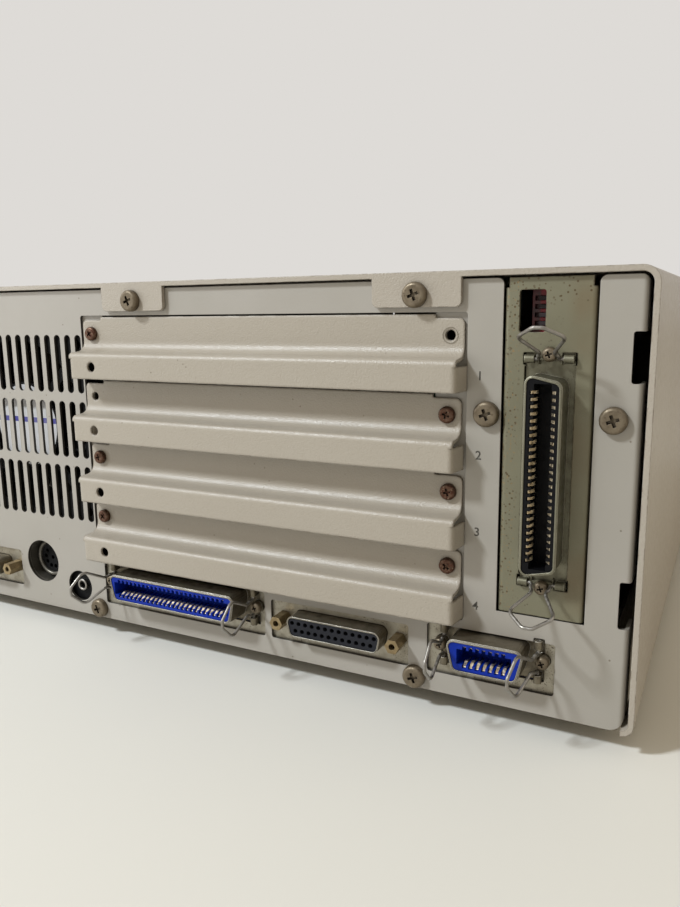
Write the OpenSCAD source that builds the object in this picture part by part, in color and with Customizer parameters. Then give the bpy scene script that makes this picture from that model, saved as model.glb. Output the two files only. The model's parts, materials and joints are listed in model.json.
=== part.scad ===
/* [Case] */
// Width of the case over the cover's side walls
case_w = 380; // [376:2:400]
// Depth from the front of the bezel to the outer face of the rear panel
case_d = 336; // [330:2:370]
// Height of the case from the chassis floor to the top of the cover
case_h = 142.5; // [142:0.5:150]
// Sheet thickness of the cover
cover_t = 1.8; // [1.2:0.1:2.2]
// Outer radius of the cover's two long top edges
cover_r = 5; // [4:0.5:8]
// Inner radius of the curl along the bottom of the cover's side walls
curl_r = 2.2; // [1.8:0.1:3]
// How far the curl hangs below the chassis floor
curl_drop = 0.3; // [0:0.1:1.5]
// Sheet thickness of the chassis, the rear panel and the card frame
sheet_t = 1.2; // [1:0.1:1.6]
// Gap between the side edges of the rear panel and the cover
panel_gap = 1.5; // [1:0.1:2.5]
// Gap between the top edge of the rear panel and the cover
panel_top_gap = 0.7; // [0.5:0.1:1.5]
// Radius of the upper corners of the rear panel
panel_r = 2; // [1.5:0.5:5]
// Radius of the lower corners of the rear panel
panel_foot_r = 4.8; // [4.6:0.1:8]
// Depth of the sides that the rear panel turns forward
panel_side_d = 10; // [6:1:14]
// Outer radius of the bends of folded sheets
fold_r = 1.5; // [1.3:0.1:2.5]
// Height of the rubber feet
foot_h = 7.5; // [5:0.5:12]
// Diameter of the rubber feet
foot_d = 22; // [16:1:28]
// Distance of the feet from the sides of the case
foot_inset_x = 34; // [28:1:60]
// Distance of the feet from the front and the rear of the case
foot_inset_y = 38; // [35:1:60]

/* [Cover tabs and panel screws] */
// Width of a tab bent down from the cover over the rear panel
tab_w = 30.4; // [26:0.2:36]
// Height of a tab below the top of the cover
tab_h = 11; // [10:0.5:14]
// Distance between neighbouring tabs
tab_pitch = 117.5; // [110:0.5:122]
// Diameter of the heads of the panel and cover screws
screw_head_d = 8.2; // [7:0.1:9]
// Height of those heads
screw_head_h = 2.5; // [2:0.1:3]
// Diameter of the shanks of those screws
screw_d = 3; // [2.5:0.1:4]
// Side notch height in the rear panel
notch_h = 15; // [12:0.5:18]
// Side notch depth in the rear panel
notch_d = 3.3; // [2.5:0.1:4]
// Heights of the middles of the side notches above the chassis floor
notch_z = [41.5, 116.5];

/* [Expansion slots] */
// Number of slots
slot_count = 4; // [1:1:4]
// Distance from slot to slot
slot_pitch = 25.4; // [25:0.1:26]
// Width of a slot cover
slot_w = 161.6; // [150:0.2:164]
// Height of the top edge of the first slot cover above the chassis floor
slot_top = 129.3; // [128.5:0.1:130]
// Sideways place of the slots, from the middle of the case
slot_x = -52.6; // [-54:0.1:-51]
// Sheet thickness of the slot covers
slot_t = 1; // [0.8:0.1:1.2]
// How far a slot cover's front flange stands out from the rear panel
slot_out = 8.7; // [7:0.1:10]
// Height of that flange
flange_h = 10.2; // [8:0.1:12]
// Slope of the web between the flange and the plate, from level
slot_slope = 4; // [2:1:8]
// Radius of the fillet between the web and the plate
slot_fillet = 4; // [3:0.1:4.2]
// Radius of the bends round the flange
slot_bend = 1.8; // [1.2:0.1:2]
// Drop of the plate's ends below its middle
slot_step = 1.2; // [0.8:0.1:2]
// Sideways shift of each slot cover
slot_shift = [0, 0.7, 0, 0];
// Sideways flare of the tabs folded back at the flange's ends
slot_flare = 1.2; // [0:0.1:1.6]
// Inset of the plate screws from the ends of a slot cover
slot_screw_in = 4.7; // [4:0.1:6]
// Drop of the plate screws below the top edge of a slot cover
slot_screw_drop = 6.6; // [6:0.1:6.6]
// Diameter of the slot screw heads
slot_screw_head_d = 5.5; // [4.5:0.1:6]
// Diameter of the hole in the front flange
pull_hole_d = 3.85; // [3:0.1:5]

/* [Fan] */
// Side of the square fan frame
fan_w = 80; // [76:1:82]
// Depth of the fan frame
fan_d = 25; // [20:1:28]
// Diameter of the fan's air duct
fan_bore = 75; // [70:0.5:75]
// Diameter of the fan's hub
fan_hub = 38; // [30:0.5:40]
// Number of blades
blade_count = 7; // [5:1:9]
// Place of the fan from the middle of the case
fan_x = 69.5; // [68:0.5:72]
// Height of the fan's axis above the chassis floor
fan_z = 82.4; // [82:0.2:84]
// Columns of slots in the grille
grille_cols = 14; // [12:1:14]
// Rows of slots in the grille
grille_rows = 3; // [2:1:3]
// Distance between columns
grille_pitch_x = 5.82; // [5.4:0.02:6]
// Distance between rows
grille_pitch_z = 27.7; // [27:0.1:28.5]
// Width of one grille slot
grille_slot_w = 3.4; // [2.5:0.1:3.8]
// Height of one grille slot
grille_slot_h = 24.1; // [20:0.1:25]

/* [Ribbon ports] */
// Distance between neighbouring contacts in a row
ribbon_pitch = 2.159; // [2.1:0.001:2.2]
// Contacts per row of the disk ports
disk_ways = 25; // [20:1:25]
// Contacts per row of the printer port
printer_ways = 7; // [6:1:8]
// Height of the moulded insert
insert_h = 9.7; // [9.2:0.1:10.2]
// Width that a disk port's insert has beyond its contact row
disk_ends = 9.5; // [9:0.1:10.5]
// Width that the printer port's insert has beyond its contact row
printer_ends = 11.9; // [10:0.1:12.2]
// Sideways lean of each end over the insert's height
insert_lean = 2.3; // [1.5:0.1:2.6]
// Corner radius of the insert
insert_r = 1.8; // [1.2:0.1:2.2]
// Height of the cavity in the insert
cavity_h = 5.2; // [4.8:0.1:5.6]
// Length that the cavity has beyond its contact row
cavity_ends = 5.2; // [4.4:0.1:5.4]
// Thickness of the metal shell
shell_t = 0.8; // [0.6:0.1:1]
// How far the shell stands out from the rear panel
ribbon_out = 8.5; // [8:0.1:10]
// Height of the middle of the floppy and printer ports above the chassis floor
ribbon_z = 18.7; // [18.3:0.1:19]
// Place of the floppy port from the middle of the case
floppy_port_x = -15.5; // [-16:0.1:-13]
// Place of the printer port from the middle of the case
printer_port_x = -144.1; // [-145:0.1:-143]
// Place of the upright disk port from the middle of the case
disk_port_x = -160.1; // [-161:0.1:-159.5]
// Height of the middle of the upright disk port above the chassis floor
disk_port_z = 80.5; // [79:0.1:81]

/* [Bails] */
// Diameter of the bail wire
wire_d = 1.1; // [0.9:0.1:1.2]
// Length of a bail from its hinge to its tip
bail_len = 19.5; // [18:0.1:20]
// Distance from the hinge to the widest place
bail_shoulder = 13.8; // [12:0.1:14.5]
// Greatest width of a bail, between wire middles
bail_w = 14; // [13:0.1:14.6]
// Width of a bail's tip, between wire middles
bail_tip_w = 3; // [2.6:0.1:5]
// Distance from the hinge to a bail's neck
bail_neck = 4; // [3.6:0.1:5]
// Play of the wire in its eyes, on the radius
bail_play = 0.07; // [0.04:0.01:0.1]
// Rest angles of the bails from lying outward: disk upper and lower
disk_bail_rest = [60, 66];
// Rest angles of the floppy port's bails: right and left seen from the front
floppy_bail_rest = [70, 92];
// Rest angles of the printer port's bails: right and left seen from the front
printer_bail_rest = [91, 105];

/* [Small sockets] */
// Distance between neighbouring contacts of the serial and monitor ports
dsub_pitch = 2.77; // [2.7:0.01:2.8]
// Contacts in the long row of the serial port
serial_ways = 13; // [8:1:13]
// Contacts in the long row of the monitor port
monitor_ways = 8; // [5:1:8]
// Place of the serial port from the middle of the case
serial_x = -87.4; // [-88:0.1:-87]
// Place of the monitor port from the middle of the case
monitor_x = 97; // [95:0.5:98]
// Height of the middle of both above the chassis floor
dsub_z = 16.1; // [15.8:0.1:16.4]
// How far their shells stand out from the rear panel
dsub_out = 5.9; // [5:0.1:6.5]
// Width of a jackpost across its flats
jackpost_af = 4.8; // [4.5:0.1:5]
// Place of the round video socket from the middle of the case
video_x = 63.3; // [63:0.1:65]
// Height of the round video socket above the chassis floor
video_z = 20.8; // [20.4:0.1:21.2]
// Diameter of the panel hole for the video socket
video_hole_d = 19.2; // [18.6:0.1:19.6]
// Outer diameter of the metal ring round the video socket's insert
video_ring_d = 17; // [16.4:0.1:17.4]
// Place of the sound jack from the middle of the case
sound_x = 41.2; // [40.8:0.1:42]
// Height of the sound jack above the chassis floor
sound_z = 12.5; // [12.2:0.1:13.4]
// Diameter of the panel hole for the sound jack
sound_hole_d = 13.6; // [12.6:0.1:13.8]

/* [Disk bracket] */
// Width of the upright bracket
bracket_w = 27.2; // [26.8:0.1:27.4]
// Height of its lower edge above the chassis floor
bracket_bottom = 33.8; // [32.5:0.1:34.5]
// Clearance of the bracket in the panel
bracket_gap = 0.4; // [0.3:0.1:0.8]
// Depth of the bracket's turned sides
bracket_side_d = 6; // [4:0.5:8]
// Width of the window for the switches
window_w = 7.9; // [7.7:0.1:8.4]
// Height of the window for the switches
window_h = 12.6; // [12.6:0.1:13]
// Travel of a switch slider
switch_travel = 1.2; // [1:0.1:1.4]

/* [Mains] */
// Place of the mains sockets from the middle of the case
mains_x = 150; // [148:0.5:152]
// Height of the mains inlet above the chassis floor
inlet_z = 58; // [56:0.5:60]
// Height of the service outlet above the chassis floor
outlet_z = 98; // [96:0.5:100]
// Depth of the power supply's case
supply_d = 84; // [70:1:86]
// Depth of the dark duct in the power supply in front of the fan
duct_d = 60; // [40:1:66]

/* [Boards and frames] */
// Depth of the mainboard
board_d = 230; // [200:5:240]
// Depth of the mainboard's part beside the drives
board_side_d = 126; // [110:2:128]
// Width of the mainboard on the side of the sound jack
board_right = 116; // [110:1:120]
// Distance of the mainboard's narrow part from the middle of the case
board_middle = 24; // [10:1:26]
// Depth of the disk card
disk_card_d = 185; // [150:5:200]
// Depth of the card frame's side walls
frame_depth = 210; // [180:5:220]

/* [Front] */
// Depth of the front bezel
bezel_d = 22; // [20:0.5:26]
// Wall thickness of the bezel
bezel_t = 3; // [2.5:0.1:3.5]
// Width of a disk drive
drive_w = 146; // [145.8:0.1:147]
// Height of a disk drive
drive_h = 41; // [40:0.2:41.2]
// Depth of a disk drive behind its face
drive_d = 190; // [170:1:195]
// Gap between the two drives
drive_gap = 1; // [0.6:0.1:2]
// Distance of the drives from the side of the case
drive_side = 13; // [12:0.5:15]
// Height of the lower drive's underside above the chassis floor
drive_z = 46; // [45:0.5:48]
// How far the drives' faces stand back from the front of the bezel
drive_inset = 9; // [8.5:0.5:11]
// Length of a drive's turn lever from its hub
lever_len = 20; // [16:1:24]
// Width of the power button
power_w = 24; // [20:1:28]
// Travel of the power button
power_travel = 4; // [3:0.5:5]
// Diameter of the reset button
reset_d = 7; // [6:0.5:8]
// Travel of the reset button
reset_travel = 1.5; // [1:0.1:2]

/* [Hidden] */
$fn = 48;

// Length and width of a screw's cross recess, as shares of the head's diameter
cross_l = 0.46;
cross_w = 0.12;
// Clearance between parts that are fitted together and don't move
fit = 0.2;
// Clearance round parts that move
run = 0.35;
eps = 0.01;

// How far a bail's hinge stands out from the rear panel
hinge_out = 0.9;
bail_reach = hinge_out + bail_len + wire_d / 2;
// Outer face of the rear panel, front of the bezel, and the chassis floor, in the part's frame
rear_y = (case_d - bail_reach) / 2;
front_y = rear_y - case_d;
floor_z = foot_h;

inner_w = case_w - 2 * cover_t;
panel_w = inner_w - 2 * panel_gap;
panel_h = case_h - cover_t - panel_top_gap;
cover_front = bezel_d - case_d;
// The pan stays inside the rear panel's rounded lower corners
pan_w = panel_w - 2 * panel_foot_r;
drive_x = case_w / 2 - drive_side - drive_w / 2;
board_top = 8;
board_t = 1.6;
board_left = -pan_w / 2 + 6;

// Set-back planes behind the rear panel, as distances from its outer face
behind = -sheet_t;
shield_t = 0.8;
flange_t = 1;
// Back of the shield, and of the lower ports' flanges behind it
shield_back = behind - shield_t;
flange_back = shield_back - flange_t;
board_front = flange_back - 1.5;

recess_w = slot_w + 2;
recess_top = slot_top + 0.6;
recess_bottom = slot_top - slot_count * slot_pitch + 0.1;
slot_open_w = slot_w - 2 * (slot_screw_in + 5.2);

port_cut_bottom = 7.3;
port_cut_top = 25;
// The shield reaches below the cut-outs, so that nothing dark shows under the ports
shield_bottom = port_cut_bottom - 1.8;
shield_top = port_cut_top + 1;

// A vector of length one
function unit(v) = v / norm(v);
// Points of the arc that rounds corner b between a and c
function corner(a, b, c, r, n) = r <= 0 ? [b] :
    let (u = unit(a - b), w = unit(c - b), half = acos(max(-1, min(1, u * w))) / 2,
         m = b + unit(u + w) * r / sin(half), p = b + u * r / tan(half), q = b + w * r / tan(half),
         a0 = atan2(p.y - m.y, p.x - m.x), a1 = atan2(q.y - m.y, q.x - m.x),
         sweep = (a1 - a0 + 540) % 360 - 180)
    [for (i = [0:n]) m + r * [cos(a0 + sweep * i / n), sin(a0 + sweep * i / n)]];
// An outline with every corner rounded, by one radius or a list of them
function rounded(pts, r, n = 6) = [for (i = [0:len(pts) - 1])
    each corner(pts[(i + len(pts) - 1) % len(pts)], pts[i], pts[(i + 1) % len(pts)],
                is_list(r) ? r[i] : r, n)];
// Corner points of a rectangle
function box(x0, x1, y0, y1) = [[x0, y0], [x1, y0], [x1, y1], [x0, y1]];

// A place on the rear panel: x from the middle of the case, z above the chassis floor,
// and out as far as it stands from the panel's outer face
module at_rear(x = 0, z = 0, out = 0) translate([x, rear_y + out, floor_z + z]) children();
// A place on the front of the bezel, with depth back into the case
module at_front(x = 0, z = 0, depth = 0) translate([x, front_y + depth, floor_z + z]) children();
// An upright plate: the outline's second coordinate is height, and it reaches t back from its face
module upright(t) rotate([90, 0, 0]) linear_extrude(t) children();
// A round bar along the case's depth, from its rear face forward
module bar(d, l) rotate([90, 0, 0]) cylinder(d = d, h = l);
module rounded_rect(x0, x1, y0, y1, r) polygon(rounded(box(x0, x1, y0, y1), r));
module stadium(w, h) {
    translate([-w / 2, -(h - w) / 2]) square([w, h - w]);
    for (s = [-1, 1]) translate([0, s * (h - w) / 2]) circle(d = w, $fn = 24);
}
// An upright sheet of width w, with both sides turned forward by the depth d
module folded_sheet(w, d, h) linear_extrude(h) polygon(rounded(
    [[-w / 2, -d], [-w / 2, 0], [w / 2, 0], [w / 2, -d], [w / 2 - sheet_t, -d],
     [w / 2 - sheet_t, -sheet_t], [-w / 2 + sheet_t, -sheet_t], [-w / 2 + sheet_t, -d]],
    [0, fold_r, fold_r, 0, 0, fold_r - sheet_t, fold_r - sheet_t, 0]));
// A sheet profile in the depth and height plane, running along the case's width
module along_width(w) rotate([90, 0, 90]) translate([0, 0, -w / 2]) linear_extrude(w) children();
// A pan-head screw with its head standing out from the panel and a cross recess in it
module pan_screw(d, h, shank_d, shank_l, turn = 20) difference() {
    union() {
        rotate([-90, 0, 0]) rotate_extrude()
            polygon(concat([[0, 0], [d / 2, 0]], [for (a = [0:15:90])
                [d / 2 - h * 0.5 * (1 - cos(a)), h * 0.5 + h * 0.5 * sin(a)]], [[0, h]]));
        bar(shank_d, shank_l);
    }
    for (a = [turn, turn + 90]) rotate([0, a, 0])
        translate([-cross_l * d / 2, h * 0.55, -cross_w * d / 2]) cube([cross_l * d, h, cross_w * d]);
}

// ---------- Case ----------

module side_mirror() { children(); mirror([1, 0, 0]) children(); }

module chassis_pan() color([0.62, 0.62, 0.58]) {
    depth = case_d - sheet_t - bezel_d;
    difference() {
        union() {
            at_rear(0, 0, behind) translate([-pan_w / 2, -depth, 0]) cube([pan_w, depth, sheet_t]);
            // Low wall behind the rear panel, with ears for the panel's screws
            at_rear(0, 0, behind) upright(sheet_t) {
                rounded_rect(-pan_w / 2, pan_w / 2, 0, shield_bottom - 0.5, 0);
                for (x = panel_foot_screws) rounded_rect(x - ear_w / 2, x + ear_w / 2, 0, ear_h, 0);
            }
            side_mirror() at_rear(-pan_w / 2, 0, behind) translate([0, -depth, 0])
                cube([sheet_t, depth, pan_side_h]);
            for (x = board_posts_x, y = [board_front - 12, board_front - board_side_d + 12])
                at_rear(x, 0, y) cylinder(d = 6, h = board_top - board_t);
        }
        for (x = panel_foot_screws) at_rear(x, 4.3) translate([0, 1, 0]) bar(screw_d + 0.2, 10);
    }
}

ear_w = 8;
ear_h = 6.8;
pan_side_h = 30;
board_posts_x = [board_left + 14, -60, board_middle - 4, board_right - 16];
// Screws along the lower edge of the rear panel
panel_foot_screws = [-117.2, 29.8];
// Screws beside the disk bracket
bracket_screws = [-141.1, -179.2];
bracket_screw_z = 98.2;
tab_screw_drop = 7.1;

module panel_outline() polygon(rounded(box(-panel_w / 2, panel_w / 2, 0, panel_h),
    [panel_foot_r, panel_foot_r, panel_r, panel_r]));

module grille() for (i = [0:grille_cols - 1], j = [0:grille_rows - 1])
    translate([(i - (grille_cols - 1) / 2) * grille_pitch_x, (j - (grille_rows - 1) / 2) * grille_pitch_z])
        stadium(grille_slot_w, grille_slot_h);

// A lower port's cut-out, which reaches past the port's two screws by the two lengths in past
module port_cut(x, screws, past, top) polygon(rounded(
    box(x - screws / 2 - past[0], x + screws / 2 + past[1], port_cut_bottom, top), 1, 4));

// Reliefs in the cut-out's upper edge for the eyes of a port's bails
module eye_reliefs(x, n) for (s = [-1, 1]) translate([x + s * ribbon_hinges(n) / 2, ribbon_z])
    rounded_rect(-1.8, 1.8, 0, flange_half + fit, 0.4);

module rear_panel() color([0.72, 0.73, 0.73]) at_rear() difference() {
    intersection() {
        folded_sheet(panel_w, panel_side_d, panel_h);
        translate([0, 1, 0]) upright(panel_side_d + 2) panel_outline();
    }
    translate([0, 1, 0]) upright(sheet_t + 2) panel_openings();
    side_mirror() for (z = notch_z) translate([0, 1, 0]) upright(panel_side_d + 2)
        rounded_rect(panel_w / 2 - notch_d, panel_w / 2 + 2, z - notch_h / 2, z + notch_h / 2, 0.8);
}

module panel_openings() {
    translate([slot_x, 0]) rounded_rect(-recess_w / 2, recess_w / 2, recess_bottom, recess_top, 1);
    translate([fan_x, fan_z]) grille();
    port_cut(floppy_port_x, ribbon_screws(disk_ways), [3.2, 4.8], port_cut_top);
    port_cut(printer_port_x, ribbon_screws(printer_ways), [3.8, 5.2], port_cut_top);
    eye_reliefs(floppy_port_x, disk_ways);
    eye_reliefs(printer_port_x, printer_ways);
    port_cut(serial_x, dsub_screws(serial_ways), [3.8, 5.6], dsub_z + 6.6);
    port_cut(monitor_x, dsub_screws(monitor_ways), [3.3, 3.4], dsub_z + 7.9);
    translate([video_x, video_z]) circle(d = video_hole_d);
    translate([sound_x, sound_z]) circle(d = sound_hole_d);
    bracket_slot();
    translate([mains_x, inlet_z]) rounded_rect(-13.9, 13.9, -10.1, 10.1, 3);
    translate([mains_x, outlet_z]) rounded_rect(-13.9, 13.9, -10.1, 10.1, 3);
    for (x = panel_foot_screws) translate([x, 4.3]) circle(d = screw_d + 0.2);
    for (x = bracket_screws) translate([x, bracket_screw_z]) circle(d = screw_d + 0.2);
    for (i = [-1:1]) translate([i * tab_pitch, case_h - tab_screw_drop]) circle(d = screw_d + 0.2);
}

bracket_x = disk_port_x + 0.5;
module bracket_slot() polygon(concat(
    [[bracket_x - bracket_w / 2 - bracket_gap, bracket_bottom - bracket_gap],
     [bracket_x + bracket_w / 2 + bracket_gap, bracket_bottom - bracket_gap]],
    corner([bracket_x + bracket_w / 2 + bracket_gap, 0], [bracket_x + bracket_w / 2 + bracket_gap, panel_h],
           [bracket_x + bracket_w, panel_h], 2, 5),
    [[bracket_x + bracket_w / 2 + 3, panel_h + 1], [bracket_x - bracket_w / 2 - 3, panel_h + 1]],
    corner([bracket_x - bracket_w, panel_h], [bracket_x - bracket_w / 2 - bracket_gap, panel_h],
           [bracket_x - bracket_w / 2 - bracket_gap, 0], 2, 5)));

// Outline of the cover seen from the rear: a closed strip with rounded shoulders and curled lips
module cover_strip() {
    outer = case_w / 2;
    function side(g, r_top, r_bottom) = concat(
        corner([0, g - curl_drop], [outer - g, g - curl_drop], [outer - g, 50], r_bottom, 8),
        corner([outer - g, 50], [outer - g, case_h - g], [0, case_h - g], r_top, 8));
    function flip(pts) = [for (i = [len(pts) - 1:-1:0]) [-pts[i].x, pts[i].y]];
    out_side = side(0, cover_r, curl_r + cover_t);
    in_side = side(cover_t, cover_r - cover_t, curl_r);
    rim = concat(out_side, flip(out_side));
    hole = concat(in_side, flip(in_side));
    polygon(concat(rim, [for (i = [len(hole) - 1:-1:0]) hole[i]]));
}

module top_cover() color([0.78, 0.74, 0.64]) difference() {
    union() {
        at_rear(0, 0, cover_t) upright(cover_t - cover_front) cover_strip();
        for (i = [-1:1]) at_rear(i * tab_pitch, case_h - tab_h, cover_t) upright(cover_t - fit / 2)
            polygon(rounded(box(-tab_w / 2, tab_w / 2, 0, tab_h - cover_t / 2), [2, 2, 0, 0], 5));
    }
    for (i = [-1:1]) at_rear(i * tab_pitch, case_h - tab_screw_drop, cover_t + 1) bar(screw_d + 0.2, 4);
}

module cover_screws() color([0.66, 0.63, 0.58]) for (i = [-1:1])
    at_rear(i * tab_pitch, case_h - tab_screw_drop, cover_t)
        pan_screw(screw_head_d, screw_head_h, screw_d, 8);

module panel_screws() color([0.66, 0.63, 0.58]) {
    for (x = panel_foot_screws) at_rear(x, 4.3) pan_screw(screw_head_d, screw_head_h, screw_d, 7);
    for (x = bracket_screws) at_rear(x, bracket_screw_z)
        pan_screw(screw_head_d, screw_head_h, screw_d, 7);
}

module rubber_feet() color([0.12, 0.12, 0.12]) for (x = [-1, 1], y = [0, 1])
    translate([x * (case_w / 2 - foot_inset_x), y ? rear_y - foot_inset_y : front_y + foot_inset_y])
        rotate_extrude() polygon([[0, 0], [foot_d / 2 - 1.5, 0], [foot_d / 2, 1.5],
            [foot_d / 2 + 0.5, foot_h], [0, foot_h]]);

// ---------- Expansion slots ----------

slot_plate_h = slot_pitch - 1.3;
// Distance of the lower plate ends' inner edge from the ends of a slot cover
slot_end_w = slot_screw_in + 5;
pull_in = 11.5;

// Middle of a slot cover's lower edge
module slot_place(k) at_rear(slot_x + slot_shift[k - 1], slot_top - (k - 1) * slot_pitch - slot_plate_h)
    children();

// Side view of a slot cover, with out from the rear panel and height above its lower edge:
// an upright plate, a fillet, a nearly level web, a bend and the front flange
module slot_profile() {
    plate_out = behind + slot_t;
    web_top = flange_h + (slot_out - plate_out) * tan(slot_slope);
    front = [[slot_out, 0], [slot_out, flange_h], [plate_out, web_top], [plate_out, slot_plate_h]];
    back = [[behind, slot_plate_h], [behind, web_top - slot_t],
            [slot_out - slot_t, flange_h - slot_t], [slot_out - slot_t, 0]];
    polygon(rounded(concat(front, back),
        [0, slot_bend, slot_fillet, 0, 0, slot_fillet + slot_t, slot_bend - slot_t, 0]));
}

// Front view of a slot cover, with ends that step down beside its middle
module slot_outline() {
    end = slot_w / 2;
    inner = end - slot_end_w;
    low = slot_plate_h - slot_step;
    polygon(rounded([[-end, 0], [end, 0], [end, low], [inner, low], [inner, slot_plate_h],
        [-inner, slot_plate_h], [-inner, low], [-end, low]], [0, 0, 2, 0.4, 0.4, 0.4, 0.4, 2], 5));
}

module slot_cover(k) color([0.80, 0.76, 0.66]) slot_place(k) difference() {
    fold_h = flange_h - slot_bend - 0.4;
    union() {
        difference() {
            intersection() {
                along_width(slot_w) slot_profile();
                translate([0, slot_out + 1, 0]) upright(slot_out + 4) slot_outline();
            }
            side_mirror() translate([slot_w / 2 - slot_bend - 0.2, slot_out - slot_t - 1, -1])
                cube([slot_bend + 1, slot_t + 2, fold_h + 1]);
        }
        // Ends of the flange, folded back towards the rear panel
        side_mirror() linear_extrude(fold_h) polygon(rounded([
            [slot_w / 2 - slot_bend - 0.4, slot_out - slot_t], [slot_w / 2 - slot_bend - 0.4, slot_out],
            [slot_w / 2, slot_out], [slot_w / 2 + slot_flare, 0.5], [slot_w / 2 + slot_flare - slot_t, 0.5],
            [slot_w / 2 - slot_t, slot_out - slot_t]], [0, 0, slot_bend, 0, 0, slot_bend - slot_t]));
    }
    for (s = [-1, 1]) translate([s * (slot_w / 2 - slot_screw_in), 1, slot_plate_h - slot_screw_drop])
        bar(3.5, 5);
    translate([slot_w / 2 - pull_in, slot_out + 1, flange_h / 2 - 0.3]) bar(pull_hole_d, 4);
}

// Which ends of the slot covers still have their screws: the end towards +x, then towards -x
slot_screw_ends = [[1, 0], [0, 1], [1, 1], [1, 1]];
module slot_screws() color([0.42, 0.30, 0.22]) for (k = [1:slot_count], e = [0, 1])
    if (slot_screw_ends[k - 1][e])
        slot_place(k) translate([(1 - 2 * e) * (slot_w / 2 - slot_screw_in), behind + slot_t,
            slot_plate_h - slot_screw_drop]) pan_screw(slot_screw_head_d, 1.8, 2.8, 5, 35 * k);

// Which slots have a window in the card frame behind the flange's pull hole
pull_windows = [1, 3, 4];
// Sheet frame behind the panel that carries the slot covers, with side walls and card guides
module card_frame() color([0.66, 0.67, 0.66]) difference() {
    frame_bottom = recess_bottom - 1.5;
    frame_top = recess_top + 3;
    union() {
        at_rear(slot_x, 0, behind) upright(sheet_t)
            rounded_rect(-recess_w / 2 - 4, fan_x - fan_w / 2 - slot_x - fit / 2,
                frame_bottom, frame_top, 0);
        for (s = [-1, 1]) at_rear(slot_x + s * (slot_open_w / 2 + sheet_t / 2), frame_bottom, behind)
            translate([-sheet_t / 2, -frame_depth, 0])
                cube([sheet_t, frame_depth, slot_count * slot_pitch + 4.5]);
        for (s = [-1, 1], k = [1:slot_count], g = [-3, 1])
            at_rear(slot_x + s * (slot_open_w / 2 - 2), slot_top - (k - 0.5) * slot_pitch + g, behind - 6)
                translate([-2, -frame_depth + 20, 0]) cube([4, frame_depth - 40, 1.5]);
    }
    at_rear(slot_x, 0, 0) upright(4)
        rounded_rect(-slot_open_w / 2, slot_open_w / 2, recess_bottom + 2, recess_top + 0.4, 1);
    for (k = [1:slot_count], s = [-1, 1]) slot_place(k)
        translate([s * (slot_w / 2 - slot_screw_in), 0, slot_plate_h - slot_screw_drop]) bar(3.3, 6);
    for (k = pull_windows) slot_place(k)
        upright(4) rounded_rect(slot_w / 2 - 8, slot_w / 2 + 4, -3.5, flange_h - 0.6, 1);
}

module slot_backplane() color([0.10, 0.30, 0.18])
at_rear(slot_x, 0, behind - frame_depth + 14) {
    upright(board_t)
        rounded_rect(-slot_open_w / 2 + 0.3, slot_open_w / 2 - 0.3, board_top, recess_top - 6, 0);
    for (k = [1:slot_count]) translate([0, 9, slot_top - (k - 0.5) * slot_pitch - 3.6])
        upright(9) difference() {
            rounded_rect(-62, 62, 0, 8, 0.8);
            rounded_rect(-58, 58, 2.9, 5.1, 0);
        }
}

// ---------- Ribbon ports ----------

function ribbon_row(n) = ribbon_pitch * (n - 1);
// Distance between a ribbon port's screws, and between its bails' hinges
function ribbon_screws(n) = ribbon_row(n) + 21.5;
function ribbon_hinges(n) = ribbon_screws(n) - 2.7;
function insert_w(n) = ribbon_row(n) + (n == printer_ways ? printer_ends : disk_ends);

eye_d = 2.6;
eye_from = 4.4;
flange_half = 7.4;
port_screw_head_d = 4.5;
port_screw_head_h = 2.4;
boss_out = 0.2;

module floppy_place() at_rear(floppy_port_x, ribbon_z) children();
module printer_place() at_rear(printer_port_x, ribbon_z) children();
// The disk port stands upright, with its long side towards the middle of the case
module disk_place() at_rear(disk_port_x, disk_port_z) rotate([0, 90, 0]) children();

// Outline with its long side up, drawn in by g all round
module insert_outline(n, g = 0) {
    w = insert_w(n) / 2;
    h = insert_h / 2;
    polygon(rounded([[-w + insert_lean + g, -h + g], [w - insert_lean - g, -h + g],
                     [w - g, h - g], [-w + g, h - g]], insert_r - g, 5));
}

// The shell of a ribbon port whose flange has its front at plate, behind the rear panel's face
module ribbon_shell(n, plate, boss) {
    tube_l = ribbon_out - plate + flange_t;
    difference() {
        union() {
            translate([0, plate, 0]) upright(flange_t) rounded_rect(-ribbon_screws(n) / 2 - 4.5,
                ribbon_screws(n) / 2 + 4.5, -flange_half, flange_half, 1.5);
            translate([0, ribbon_out - 0.4, 0]) upright(tube_l - 0.4) insert_outline(n, -shell_t);
            // The drawn tube's rounded front edge
            translate([0, ribbon_out, 0]) upright(0.6) insert_outline(n, 0.35 - shell_t);
            for (s = [-1, 1], e = [-1, 1]) translate([s * ribbon_hinges(n) / 2, 0, 0]) {
                translate([0, hinge_out, e > 0 ? eye_from : -flange_half + 0.1])
                    cylinder(d = eye_d, h = flange_half - eye_from - 0.1);
                translate([-0.9, plate, e > 0 ? eye_from : -flange_half + 0.1])
                    cube([1.8, hinge_out - plate, flange_half - eye_from - 0.1]);
            }
            if (boss) for (s = [-1, 1]) translate([s * ribbon_screws(n) / 2, boss_out, 0])
                bar(port_screw_head_d, boss_out - plate);
        }
        translate([0, ribbon_out + 1, 0]) upright(tube_l + 2) insert_outline(n);
        for (s = [-1, 1]) {
            translate([s * ribbon_hinges(n) / 2, hinge_out, -flange_half - 1])
                cylinder(r = wire_d / 2 + bail_play, h = 2 * flange_half + 2, $fn = 24);
            translate([s * ribbon_screws(n) / 2, 2, 0]) bar(2.4, 6);
        }
    }
}

notch_w = 1.3;
notch_h_in = 1.2;
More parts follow.
